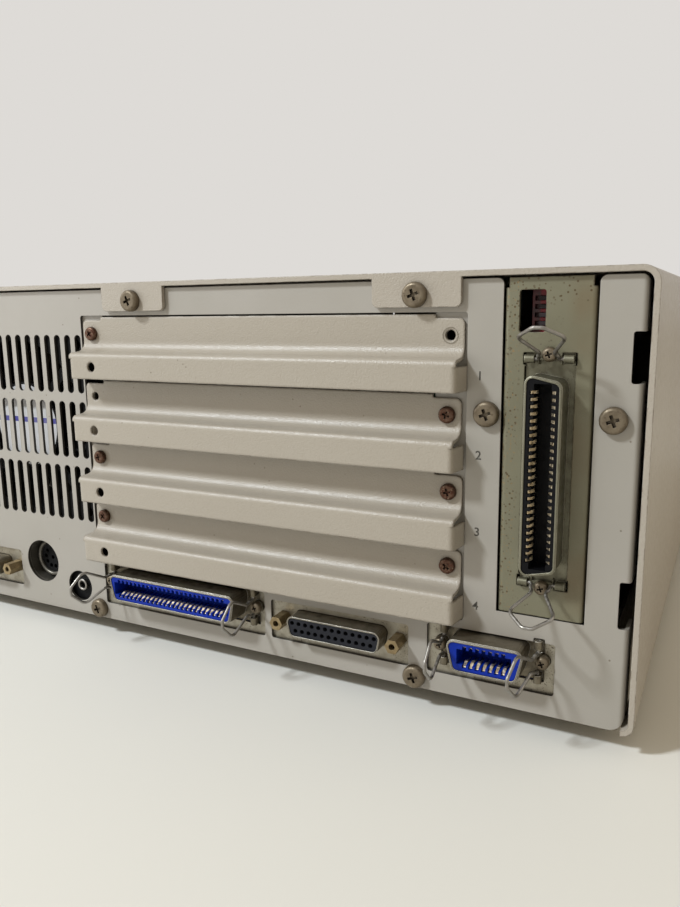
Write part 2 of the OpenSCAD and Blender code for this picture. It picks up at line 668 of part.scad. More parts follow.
// The moulded insert, with a body that reaches from below to above the contact rows
module ribbon_insert(n, below, above) difference() {
    union() {
        translate([0, ribbon_out - 0.3, 0]) upright(ribbon_out - 0.3 - flange_back + 0.5)
            insert_outline(n, 0.05);
        translate([0, flange_back - 0.1, 0]) upright(11)
            rounded_rect(-insert_w(n) / 2 - 2, insert_w(n) / 2 + 2, -below, above, 0);
    }
    translate([0, ribbon_out + 1, 0]) upright(ribbon_out + 1.5) {
        translate([-(ribbon_row(n) + cavity_ends) / 2, -cavity_h / 2])
            square([ribbon_row(n) + cavity_ends, cavity_h]);
        for (i = [0:n - 1]) translate([(i - (n - 1) / 2) * ribbon_pitch - notch_w / 2,
            -cavity_h / 2 - notch_h_in]) square([notch_w, cavity_h + 2 * notch_h_in]);
    }
}

// Sprung contacts lying in the insert's notches, with their rounded noses in the cavity
module ribbon_contacts(n) {
    seat = cavity_h / 2 + notch_h_in;
    nose = [[-0.4, -seat], [ribbon_out - 1, -seat], [ribbon_out - 0.8, -seat + 0.3],
            [ribbon_out - 3, -seat + 1.65], [ribbon_out - 4.4, -seat + 1.6],
            [ribbon_out - 6.4, -seat + 0.8], [-0.4, -seat + 0.4]];
    for (i = [0:n - 1], e = [0, 1]) translate([(i - (n - 1) / 2) * ribbon_pitch, 0, 0])
        mirror([0, 0, e]) along_width(1) polygon(rounded(nose, [0, 0.1, 0.2, 0.4, 0.4, 0.7, 0], 3));
}

// A wire through points of the xy plane, bent round each inner one by the radius of its bend.
// The bends are a little thicker than the straights, whose ends they take in
module bent_wire(pts, bends) {
    last = len(pts) - 1;
    lap = 0.1;
    // Length that the bend at point i takes off each straight beside it
    function cut(i) = i == 0 || i == last ? 0 : bends[i] /
        tan(acos(unit(pts[i - 1] - pts[i]) * unit(pts[i + 1] - pts[i])) / 2) - lap;
    for (i = [0:last - 1]) {
        along = unit(pts[i + 1] - pts[i]);
        translate(pts[i] + along * cut(i)) rotate([0, 90, atan2(along.y, along.x)])
            cylinder(d = wire_d, h = norm(pts[i + 1] - pts[i]) - cut(i) - cut(i + 1), $fn = 24);
    }
    for (i = [1:last - 1]) {
        u = unit(pts[i - 1] - pts[i]);
        w = unit(pts[i + 1] - pts[i]);
        half = acos(u * w) / 2;
        middle = pts[i] + unit(u + w) * bends[i] / sin(half);
        from = pts[i] + (u.x * w.y > u.y * w.x ? w : u) * (cut(i) + lap);
        translate(middle) rotate(atan2(from.y - middle.y, from.x - middle.x))
            rotate_extrude(angle = 180 - 2 * half)
                translate([bends[i], 0]) circle(d = wire_d + 0.06, $fn = 24);
    }
}

// A sprung wire bail at angle rest, hinged in the eyes at the row's +x end
module bail(n, rest) translate([ribbon_hinges(n) / 2, hinge_out, 0]) rotate([90, 0, rest]) {
    // From the hinge in an eye to a neck, a shoulder and the tip's corner
    root = eye_from - 1.4;
    half = [[0, flange_half - 0.3], [0, root], [bail_neck - 2, root], [bail_neck, root - 1],
            [bail_shoulder, bail_w / 2], [bail_len, bail_tip_w / 2]];
    bent_wire(concat(half, [for (i = [len(half) - 1:-1:0]) [half[i].x, -half[i].y]]),
        [0, 0.9, 2, 2.6, 3, 1.8, 1.8, 3, 2.6, 2, 0.9, 0]);
}

module disk_port_shell() color([0.55, 0.56, 0.50]) disk_place() ribbon_shell(disk_ways, behind, false);
module floppy_port_shell() color([0.62, 0.60, 0.54])
    floppy_place() ribbon_shell(disk_ways, shield_back, true);
module printer_port_shell() color([0.62, 0.60, 0.54])
    printer_place() ribbon_shell(printer_ways, shield_back, true);

module disk_port_insert() color([0.07, 0.08, 0.10]) disk_place()
    ribbon_insert(disk_ways, insert_h / 2, card_x - disk_port_x);
module floppy_port_insert() color([0.05, 0.16, 0.62]) floppy_place()
    ribbon_insert(disk_ways, ribbon_z - board_top, insert_h / 2);
module printer_port_insert() color([0.05, 0.16, 0.62]) printer_place()
    ribbon_insert(printer_ways, ribbon_z - board_top, insert_h / 2);

module port_contacts() color([0.80, 0.68, 0.42]) {
    disk_place() ribbon_contacts(disk_ways);
    floppy_place() ribbon_contacts(disk_ways);
    printer_place() ribbon_contacts(printer_ways);
}

module opposite() mirror([1, 0, 0]) children();
module disk_bail_upper() color("silver") disk_place() opposite() bail(disk_ways, disk_bail_rest[0]);
module disk_bail_lower() color("silver") disk_place() bail(disk_ways, disk_bail_rest[1]);
module floppy_bail_right() color("silver") floppy_place() bail(disk_ways, floppy_bail_rest[0]);
module floppy_bail_left() color("silver")
    floppy_place() opposite() bail(disk_ways, floppy_bail_rest[1]);
module printer_bail_right() color("silver") printer_place() bail(printer_ways, printer_bail_rest[0]);
module printer_bail_left() color("silver")
    printer_place() opposite() bail(printer_ways, printer_bail_rest[1]);

module port_screws() color([0.66, 0.64, 0.58]) {
    for (s = [-1, 1]) {
        disk_place() translate([s * ribbon_screws(disk_ways) / 2, 0, 0])
            pan_screw(port_screw_head_d, port_screw_head_h, 2.2, 5);
        floppy_place() translate([s * ribbon_screws(disk_ways) / 2, boss_out, 0])
            pan_screw(port_screw_head_d, port_screw_head_h, 2.2, 5);
        printer_place() translate([s * ribbon_screws(printer_ways) / 2, boss_out, 0])
            pan_screw(port_screw_head_d, port_screw_head_h, 2.2, 5);
    }
}

// An opening in the shield for a ribbon port and its eyes, with holes for its screws
module ribbon_opening(x, n) translate([x, ribbon_z]) {
    half = ribbon_hinges(n) / 2 + 1.7;
    rounded_rect(-half, half, -flange_half - 0.3, flange_half + 0.3, 0.3);
    for (s = [-1, 1]) translate([s * ribbon_screws(n) / 2, 0]) circle(d = port_screw_head_d + fit);
}
// Metal shields behind the lower ports and behind the monitor port
module port_shield() color([0.58, 0.56, 0.48]) at_rear(0, 0, behind) upright(shield_t) {
    difference() {
        rounded_rect(printer_port_x - ribbon_screws(printer_ways) / 2 - 9,
            floppy_port_x + ribbon_screws(disk_ways) / 2 + 9, shield_bottom, shield_top, 0);
        ribbon_opening(floppy_port_x, disk_ways);
        ribbon_opening(printer_port_x, printer_ways);
        translate([serial_x, dsub_z]) dsub_outline(serial_ways, -0.2);
        for (s = [-1, 1]) translate([serial_x + s * dsub_screws(serial_ways) / 2, dsub_z]) circle(d = 3);
        for (x = panel_foot_screws)
            rounded_rect(x - ear_w / 2 - fit, x + ear_w / 2 + fit, 0, ear_h + fit, 0);
    }
    difference() {
        half = dsub_screws(monitor_ways) / 2;
        rounded_rect(monitor_x - half - 6, monitor_x + half + 6, shield_bottom, shield_top, 0);
        translate([monitor_x, dsub_z]) dsub_outline(monitor_ways, -0.2);
        for (s = [-1, 1]) translate([monitor_x + s * half, dsub_z]) circle(d = 3);
    }
}

// ---------- Upright disk bracket, its card and its switches ----------

// Face of the disk card, the places of the switches on it, and the window's middle
card_x = disk_port_x + 10.9;
window_x = disk_port_x + 5.65;
window_z = disk_port_z + 49.5;
switch_pitch = 2.54;
switch_count = 4;
switch_out = -6;
switch_x = window_x - 1.5;
// Distances of the disk card's rear edge and of its foot from the rear panel
card_back = 7.5;
card_foot = 30;

module disk_bracket() color([0.50, 0.50, 0.38]) difference() {
    at_rear(bracket_x, bracket_bottom) folded_sheet(bracket_w, bracket_side_d, panel_h - bracket_bottom);
    // Steps beside the bracket's top edge
    for (s = [-1, 1]) at_rear(bracket_x + s * bracket_w / 2, panel_h, 1)
        upright(bracket_side_d + 2) square([2.6, 6], center = true);
    disk_place() translate([0, 2, 0]) {
        half = ribbon_hinges(disk_ways) / 2;
        upright(6) rounded_rect(-half + 1.7, half - 1.7, -7.6, 7.6, 1);
        // Where the shell's plate shows between the eyes, as far as the port's screws
        upright(6) square([ribbon_screws(disk_ways) - 3.6, 6.4], center = true);
        for (s = [-1, 1], e = [-1, 1]) upright(6) translate([s * half, e * 5.8])
            rounded_rect(-1.9, 1.9, -2.2, 2.2, 0.3);
        for (s = [-1, 1]) translate([s * ribbon_screws(disk_ways) / 2, 0, 0]) bar(2.4, 6);
    }
    at_rear(window_x, window_z, 1) upright(4)
        rounded_rect(-window_w / 2, window_w / 2, -window_h / 2, window_h / 2, 0.8);
}

module disk_card() color([0.12, 0.34, 0.20])
    translate([card_x + board_t, rear_y, floor_z]) rotate([90, 0, -90]) linear_extrude(board_t)
        polygon([[card_back, bracket_bottom + 4], [card_back, panel_h - 3], [disk_card_d, panel_h - 3],
                 [disk_card_d, board_top], [card_foot, board_top], [card_foot, bracket_bottom + 4]]);

switch_body_w = 6;
switch_body_h = window_h + 1.6;
slider_w = 2.6;
module switch_body() color([0.55, 0.06, 0.07]) difference() {
    at_rear(switch_x - switch_body_w / 2, window_z, switch_out) {
        translate([0, -7, -switch_body_h / 2]) cube([switch_body_w, 7, switch_body_h]);
        // Feet on the card, above and below the window
        for (s = [-1, 1]) translate([switch_body_w - 1, -7, s * (switch_body_h / 2 - 0.4) - 0.4])
            cube([card_x - switch_x - switch_body_w / 2 + 1, 4, 0.8]);
    }
    for (k = [1:switch_count]) at_rear(switch_x, window_z + (2.5 - k) * switch_pitch, switch_out)
        translate([-(slider_w + switch_travel) / 2 - 0.3, -2.2, -0.75])
            cube([slider_w + switch_travel + 0.6, 3, 1.5]);
}

module switch_slider(k) color([0.85, 0.84, 0.80])
    at_rear(switch_x - switch_travel / 2, window_z + (2.5 - k) * switch_pitch, switch_out)
        translate([-slider_w / 2, -2.1, -0.6]) cube([slider_w, 3.2, 1.2]);

// ---------- Serial, monitor, video and sound sockets ----------

function dsub_row(n) = dsub_pitch * (n - 1);
function dsub_screws(n) = dsub_row(n) + 13.8;
dsub_h = 7.9;
dsub_wall = 0.5;
module dsub_outline(n, g) {
    w = (dsub_row(n) + 5.14) / 2;
    lean = dsub_h * tan(10);
    polygon(rounded([[-w + lean + g, -dsub_h / 2 + g], [w - lean - g, -dsub_h / 2 + g],
                     [w - g, dsub_h / 2 - g], [-w + g, dsub_h / 2 - g]], 2.4 - g, 5));
}

module dsub_shell(n) difference() {
    union() {
        translate([0, shield_back, 0]) upright(flange_t) rounded_rect(-dsub_screws(n) / 2 - 3,
            dsub_screws(n) / 2 + 3, -6.2, 6.2, 1);
        translate([0, dsub_out, 0]) upright(dsub_out - flange_back) dsub_outline(n, 0);
    }
    translate([0, dsub_out + 1, 0]) upright(dsub_out + 6) dsub_outline(n, dsub_wall);
    for (s = [-1, 1]) translate([s * dsub_screws(n) / 2, 1, 0]) bar(3, 6);
}

module dsub_insert(n) difference() {
    union() {
        translate([0, dsub_out - 0.3, 0]) upright(dsub_out - 0.3 - flange_back + 0.5)
            dsub_outline(n, dsub_wall + 0.05);
        translate([0, flange_back - 0.1, 0]) upright(10)
            rounded_rect(-dsub_row(n) / 2 - 4, dsub_row(n) / 2 + 4, board_top - dsub_z, 5, 0);
    }
    for (i = [0:n - 1]) translate([(i - (n - 1) / 2) * dsub_pitch, dsub_out + 1, 1.42]) bar(1.7, 7);
    for (i = [0:n - 2]) translate([(i - (n - 2) / 2) * dsub_pitch, dsub_out + 1, -1.42]) bar(1.7, 7);
}

module serial_port_shell() color([0.60, 0.58, 0.52]) at_rear(serial_x, dsub_z) dsub_shell(serial_ways);
module serial_port_insert() color([0.10, 0.10, 0.11]) at_rear(serial_x, dsub_z) dsub_insert(serial_ways);
module monitor_port_shell() color([0.60, 0.58, 0.52]) at_rear(monitor_x, dsub_z) dsub_shell(monitor_ways);
module monitor_port_insert() color([0.10, 0.10, 0.11])
    at_rear(monitor_x, dsub_z) dsub_insert(monitor_ways);

jackpost_out = 6;
module jackpost() difference() {
    union() {
        translate([0, jackpost_out, 0]) rotate([90, 0, 0])
            cylinder(d = jackpost_af / cos(30), h = jackpost_out - behind, $fn = 6);
        translate([0, behind + eps, 0]) bar(2.8, 5);
    }
    translate([0, jackpost_out + 1, 0]) bar(2.3, 6);
}
module jackposts() color([0.62, 0.50, 0.26]) for (s = [-1, 1]) {
    at_rear(serial_x + s * dsub_screws(serial_ways) / 2, dsub_z) jackpost();
    at_rear(monitor_x + s * dsub_screws(monitor_ways) / 2, dsub_z) jackpost();
}

// Front of the ring round the insert, and the ring's thickness
video_out = -4.5;
video_ring_t = 1.7;
video_depth = 16.5;
// Metal collar behind the panel's hole, with the rounded ring inside it
module video_socket_cup() color([0.70, 0.69, 0.66]) at_rear(video_x, video_z) rotate([90, 0, 0])
rotate_extrude() {
    ring = video_ring_d / 2;
    collar = video_hole_d / 2 - 0.1;
    polygon(rounded([
        [ring - video_ring_t, video_depth], [ring - video_ring_t, -video_out], [ring, -video_out],
        [ring, -video_out + 5], [collar, -video_out + 5], [collar, -behind + 0.1],
        [collar + 0.8, -behind + 0.1], [collar + 0.8, video_depth]],
        [0, 0.8, 0.8, 0, 0, 0, 0, 0], 5));
}
module video_socket_insert() color([0.06, 0.06, 0.06]) at_rear(video_x, video_z, video_out) difference() {
    union() {
        translate([0, -1.2, 0]) bar(video_ring_d - 2 * video_ring_t - 0.1, 13);
        translate([0, -12, 0]) upright(5) rounded_rect(-9.5, 9.5, board_top - video_z, 9.5, 0);
    }
    for (a = [-131:37.4:131]) rotate([0, a, 0]) translate([0, 0, -4.3]) bar(1.9, 8);
    bar(1.9, 8);
    translate([-1.2, -3.2, 4.6]) cube([2.4, 4, 3]);
}

// The jack's front stands in front of the mainboard's edge and fills the panel's hole
module sound_jack() color([0.06, 0.06, 0.06]) at_rear(sound_x, sound_z) difference() {
    union() {
        translate([0, -2.4, 0]) upright(14) rounded_rect(-7.4, 7.4, board_top - sound_z, 7.4, 0);
        translate([0, -2.4, 0]) upright(1.8) rounded_rect(-7.4, 7.4, -7.2, 7.4, 0);
        translate([0, -1.2, 0]) bar(5.2, 2);
    }
    translate([0, 1, 0]) bar(3.3, 14);
}

// ---------- Mains and fan ----------

fan_back = behind - fan_d;
mains_flange_w = 32;
mains_flange_h = 25;
mains_body_w = 27.4;
mains_body_h = 19.8;
mains_body_d = 19;
pin_t = 2;
pin_w = 4;
pin_l = 13;
pin_root = 16;
blade_apart = 12.7;
blade_slot_w = 1.8;
blade_slot_h = 7;
blade_slot_d = 12;
module mains_body() {
    translate([0, 2, 0]) upright(2) rounded_rect(-mains_flange_w / 2, mains_flange_w / 2,
        -mains_flange_h / 2, mains_flange_h / 2, 3);
    upright(mains_body_d) rounded_rect(-mains_body_w / 2, mains_body_w / 2,
        -mains_body_h / 2, mains_body_h / 2, 3);
}
module mains_inlet() color([0.05, 0.05, 0.05]) at_rear(mains_x, inlet_z) {
    difference() {
        mains_body();
        translate([0, 3, 0]) upright(18) polygon([[-12, -8.2], [12, -8.2], [12, 4.2], [8, 8.2],
            [-8, 8.2], [-12, 4.2]]);
    }
    for (p = [[-7, -2], [0, 2], [7, -2]]) translate([p.x - pin_t / 2, -pin_root, p.y - pin_w / 2])
        cube([pin_t, pin_l, pin_w]);
}
module service_outlet() color([0.05, 0.05, 0.05]) at_rear(mains_x, outlet_z) difference() {
    mains_body();
    for (s = [-1, 1]) translate([s * blade_apart / 2 - blade_slot_w / 2, -blade_slot_d, -blade_slot_h / 2])
        cube([blade_slot_w, blade_slot_d + 4, blade_slot_h]);
}

module power_supply() color([0.64, 0.65, 0.66]) {
    x0 = fan_x - fan_w / 2 + 1;
    x1 = pan_w / 2 - sheet_t - fit;
    at_rear(0, 0, fan_back - fit) difference() {
        union() {
            upright(supply_d) rounded_rect(x0, x1, 36, fan_z + fan_w / 2 + 3, 0);
            for (x = [x1 - sheet_t, monitor_x + 28]) translate([x, -supply_d, sheet_t])
                cube([sheet_t, supply_d, 36]);
        }
        translate([fan_x, 1, fan_z]) bar(fan_bore, duct_d);
    }
}

strut_out = -3.6;
blade_t = 1.4;
module fan_frame() color([0.08, 0.08, 0.09]) at_rear(fan_x, fan_z, behind) {
    difference() {
        upright(fan_d) rounded_rect(-fan_w / 2, fan_w / 2, -fan_w / 2, fan_w / 2, 4);
        translate([0, 1, 0]) bar(fan_bore, fan_d + 2);
        for (x = [-1, 1], z = [-1, 1]) translate([x * 35.75, 1, z * 35.75]) bar(4.3, fan_d + 2);
    }
    translate([0, strut_out - behind, 0]) difference() {
        union() {
            bar(fan_hub, 3);
            for (a = [45:90:315]) rotate([0, a, 0]) translate([-2, -2.7, fan_hub / 2 - 1])
                cube([4, 2.4, (fan_bore - fan_hub) / 2 + 2]);
        }
        translate([0, -1, 0]) bar(3.1, 4);
    }
}

module fan_rotor() color([0.10, 0.10, 0.11]) at_rear(fan_x, fan_z, strut_out - 3 - run) {
    bar(fan_hub - 1, 15);
    translate([0, 1.8, 0]) bar(3, 2);
    for (k = [0:blade_count - 1]) rotate([0, k * 360 / blade_count, 0])
        translate([0, -7.5, fan_hub / 2 - 1.5]) rotate([0, 0, 38]) translate([-blade_t / 2, -8.5, 0])
            cube([blade_t, 17, (fan_bore - fan_hub) / 2 - 0.5]);
}

module mainboard() color([0.12, 0.36, 0.22]) {
    // The board narrows beside the drive cage
    at_rear(0, board_top - board_t, board_front) linear_extrude(board_t) polygon([
        [board_left, 0], [board_right, 0], [board_right, -board_side_d], [board_middle, -board_side_d],
        [board_middle, -board_d], [board_left, -board_d]]);
    for (i = [0:5], j = [0:3]) at_rear(-120 + i * 26, board_top, -28 - j * 30)
        translate([0, -20, 0]) cube([8, 20, 4]);
}

// ---------- Front ----------

rim_depth = 4;
face_depth = rim_depth + bezel_t;
keys_x = -150;
keys_z = 24;
drives_h = 2 * drive_h + drive_gap;
socket_d = 18;
lamp_w = 8;
lamp_h = 3;
speaker_d = 50;
magnet_d = 30;
magnet_l = 13;
speaker_x = -50;
speaker_z = 100;

module front_bezel() color([0.80, 0.76, 0.66]) at_front() difference() {
    translate([0, bezel_d, 0]) upright(bezel_d)
        rounded_rect(-case_w / 2, case_w / 2, -cover_t, case_h, cover_r);
    // Hollow behind the face
    translate([0, bezel_d + 1, 0]) upright(bezel_d - face_depth + 1)
        rounded_rect(-case_w / 2 + bezel_t, case_w / 2 - bezel_t, -cover_t + bezel_t,
            case_h - bezel_t, 2);
    // Face standing back inside a rim, beside the drives
    translate([0, rim_depth, 0]) upright(rim_depth + 1)
        rounded_rect(-case_w / 2 + 8, drive_x - drive_w / 2 - 8, 8, case_h - 8, 3);
    translate([drive_x, bezel_d + 1, 0]) upright(bezel_d + 2)
        rounded_rect(-drive_w / 2 - fit, drive_w / 2 + fit, drive_z - fit, drive_z + drives_h + fit, 1);
    // Sound slots in front of the speaker
    for (i = [0:6], j = [0:2]) translate([speaker_x + (i - 3) * 6, face_depth + 1, speaker_z + (j - 1) * 14])
        upright(bezel_t + 2) stadium(2.4, 11);
    translate([keys_x, 0, keys_z]) {
        translate([0, face_depth + 1, 0]) upright(bezel_t + 2)
            rounded_rect(-power_w / 2 - run, power_w / 2 + run, -6 - run, 6 + run, 1);
        translate([28, face_depth + 1, 0]) bar(reset_d + 2 * run, bezel_t + 2);
        translate([66, face_depth + 1, 0]) bar(socket_d + fit, bezel_t + 2);
        for (i = [0, 1]) translate([i * 14, face_depth + 1, 16]) upright(bezel_t + 2)
            rounded_rect(-lamp_w / 2 - fit / 2, lamp_w / 2 + fit / 2, -lamp_h / 2 - fit / 2,
                lamp_h / 2 + fit / 2, 0);
    }
}

button_proud = power_travel - 1;
reset_proud = reset_travel + 0.3;
module power_button() color([0.75, 0.72, 0.63]) at_front(keys_x, keys_z, rim_depth - button_proud) {
    translate([0, 13, 0]) upright(13)
        polygon(rounded(box(-power_w / 2, power_w / 2, -6, 6), 0.8, 4));
    // Collar that stops the button behind the face
    translate([0, 8.6, 0]) upright(2) rounded_rect(-power_w / 2 - 1.5, power_w / 2 + 1.5, -7.5, 7.5, 1);
}
module reset_button() color([0.30, 0.30, 0.30]) at_front(keys_x + 28, keys_z, rim_depth - reset_proud) {
    translate([0, 11, 0]) bar(reset_d, 11);
    translate([0, 7.4, 0]) bar(reset_d + 3, 2);
}
module keyboard_socket() color([0.08, 0.08, 0.08])
at_front(keys_x + 66, keys_z, rim_depth) difference() {
    union() {
        translate([0, 14, 0]) bar(socket_d, 14);
        translate([0, 6, 0]) upright(3) rounded_rect(-12, 12, -12, 12, 2);
    }
    translate([0, 9, 0]) bar(13, 10);
}
module status_lamps() color([0.35, 0.05, 0.05]) for (i = [0, 1])
    at_front(keys_x + i * 14, keys_z + 16, rim_depth) translate([-lamp_w / 2, -0.4, -lamp_h / 2])
        cube([lamp_w, 6, lamp_h]);
module speaker() color([0.15, 0.15, 0.16]) at_front(speaker_x, speaker_z, face_depth) difference() {
    union() {
        translate([0, 2, 0]) bar(speaker_d, 2);
        translate([0, magnet_l + 1, 0]) bar(magnet_d, magnet_l);
    }
    translate([0, 1, 0]) rotate([-90, 0, 0]) translate([0, 0, -eps]) rotate([180, 0, 0])
        cylinder(d1 = speaker_d - 6, d2 = speaker_d - 5, h = 2);
}

hub_z = 28.5;
disk_slot_z = 14.5;
disk_slot_w = drive_w - 13;
disk_slot_h = 4.4;
disk_slot_l = 120;
lever_x = 38;
module disk_drive(n) at_front(drive_x, drive_z + n * (drive_h + drive_gap), drive_inset) difference() {
    union() {
        translate([0, 6, 0]) upright(6) rounded_rect(-drive_w / 2, drive_w / 2, 0, drive_h, 1.5);
        translate([0, drive_d, 0]) upright(drive_d - 5)
            rounded_rect(-drive_w / 2, drive_w / 2, 0, drive_h - 0.4, 0);
    }
    // Slot for the disk, with a finger dip in its middle
    translate([-disk_slot_w / 2, -1, disk_slot_z - disk_slot_h / 2])
        cube([disk_slot_w, disk_slot_l + 1, disk_slot_h]);
    translate([-12, -1, disk_slot_z - 6]) cube([24, 3, 12]);
    translate([lever_x, 9, hub_z]) bar(6.1, 10);
}
module disk_drive_upper() color([0.70, 0.67, 0.58]) disk_drive(1);
module disk_drive_lower() color([0.70, 0.67, 0.58]) disk_drive(0);

// Turn lever, upright across the slot when the drive is closed
module drive_lever(n) at_front(drive_x + lever_x, drive_z + n * (drive_h + drive_gap) + hub_z, drive_inset) {
    translate([0, 8.5, 0]) bar(6, 9);
    translate([0, -run, 0]) difference() {
        upright(6) union() {
            circle(r = 6.5);
            polygon(rounded(box(-5, 5, -lever_len, 0), [3, 3, 0, 0], 6));
        }
        translate([0, -7, 0]) for (s = [-1, 1]) translate([s * 5.4, 0, -lever_len + 3])
            cylinder(r = 1.6, h = lever_len - 12, $fn = 24);
    }
}
module drive_lever_upper() color([0.25, 0.25, 0.26]) drive_lever(1);
module drive_lever_lower() color([0.25, 0.25, 0.26]) drive_lever(0);

module drive_cage() color([0.64, 0.65, 0.66]) {
    y0 = front_y + bezel_d + 1;
    l = drive_d - bezel_d + drive_inset - 1;
    for (s = [-1, 1]) translate([drive_x + s * (drive_w / 2 + fit + sheet_t / 2) - sheet_t / 2, y0,
        floor_z + sheet_t]) cube([sheet_t, l, drive_z + drives_h]);
    translate([drive_x - drive_w / 2 - fit - sheet_t, y0, floor_z + drive_z - sheet_t])
        cube([drive_w + 2 * (fit + sheet_t), l, sheet_t]);
}

chassis_pan();
rear_panel();
top_cover();
front_bezel();
rubber_feet();
cover_screws();
panel_screws();
slot_cover(1);  // slot_cover_1
slot_cover(2);  // slot_cover_2
slot_cover(3);  // slot_cover_3
slot_cover(4);  // slot_cover_4
slot_screws();
card_frame();
slot_backplane();
disk_bracket();
disk_card();
disk_port_shell();
disk_port_insert();
disk_bail_upper();
disk_bail_lower();
switch_body();
switch_slider(1);  // switch_slider_1
switch_slider(2);  // switch_slider_2
switch_slider(3);  // switch_slider_3
switch_slider(4);  // switch_slider_4
port_shield();
floppy_port_shell();
floppy_port_insert();
floppy_bail_right();
floppy_bail_left();
printer_port_shell();
printer_port_insert();
printer_bail_right();
printer_bail_left();
port_contacts();
port_screws();
serial_port_shell();
serial_port_insert();
monitor_port_shell();
monitor_port_insert();
jackposts();
video_socket_cup();
video_socket_insert();
sound_jack();
power_supply();
mains_inlet();
service_outlet();
fan_frame();
fan_rotor();
mainboard();
drive_cage();
disk_drive_upper();
disk_drive_lower();
drive_lever_upper();
drive_lever_lower();
power_button();
reset_button();
keyboard_socket();
status_lamps();
speaker();
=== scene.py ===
"""The looks of a vintage home computer, seen from behind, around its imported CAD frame."""
import json
import math

import bmesh
import bpy
from mathutils import Matrix, Vector

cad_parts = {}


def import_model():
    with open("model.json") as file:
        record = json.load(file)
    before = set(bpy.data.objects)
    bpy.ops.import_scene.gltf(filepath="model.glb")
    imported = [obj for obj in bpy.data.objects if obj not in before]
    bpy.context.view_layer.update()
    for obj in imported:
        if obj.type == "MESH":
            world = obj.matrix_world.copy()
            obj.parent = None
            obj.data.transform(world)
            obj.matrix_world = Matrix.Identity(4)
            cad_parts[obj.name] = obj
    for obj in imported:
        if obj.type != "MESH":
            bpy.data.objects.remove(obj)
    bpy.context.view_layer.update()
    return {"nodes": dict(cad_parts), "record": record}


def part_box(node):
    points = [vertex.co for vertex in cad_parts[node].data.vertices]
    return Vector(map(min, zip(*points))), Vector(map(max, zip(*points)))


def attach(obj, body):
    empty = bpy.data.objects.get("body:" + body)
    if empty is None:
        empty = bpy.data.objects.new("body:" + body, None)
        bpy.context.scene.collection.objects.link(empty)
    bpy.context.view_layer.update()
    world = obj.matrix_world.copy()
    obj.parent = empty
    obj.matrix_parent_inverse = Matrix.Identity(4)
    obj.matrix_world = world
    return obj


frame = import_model()
NODES = frame["nodes"]
MM = 0.001

# The rear panel's outer face, and its lower edge
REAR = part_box("rear_panel")[1].y
PANEL_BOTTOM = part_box("rear_panel")[0].z

SLOT_COVERS = [f"slot_cover_{k}" for k in (1, 2, 3, 4)]
BODY_OF = {node: body for body, members in frame["record"]["behaviour"]["bodies"].items()
           for node in members}

# Faces that meet at less than this are shaded as one curved surface
SMOOTH_ANGLE = math.radians(32)


# ---------- Colours and material building ----------

def rgb(red, green, blue):
    """A linear colour from 0 to 255 display values."""
    def linear(value):
        share = value / 255
        return share / 12.92 if share <= 0.04045 else ((share + 0.055) / 1.055) ** 2.4
    return (linear(red), linear(green), linear(blue), 1.0)


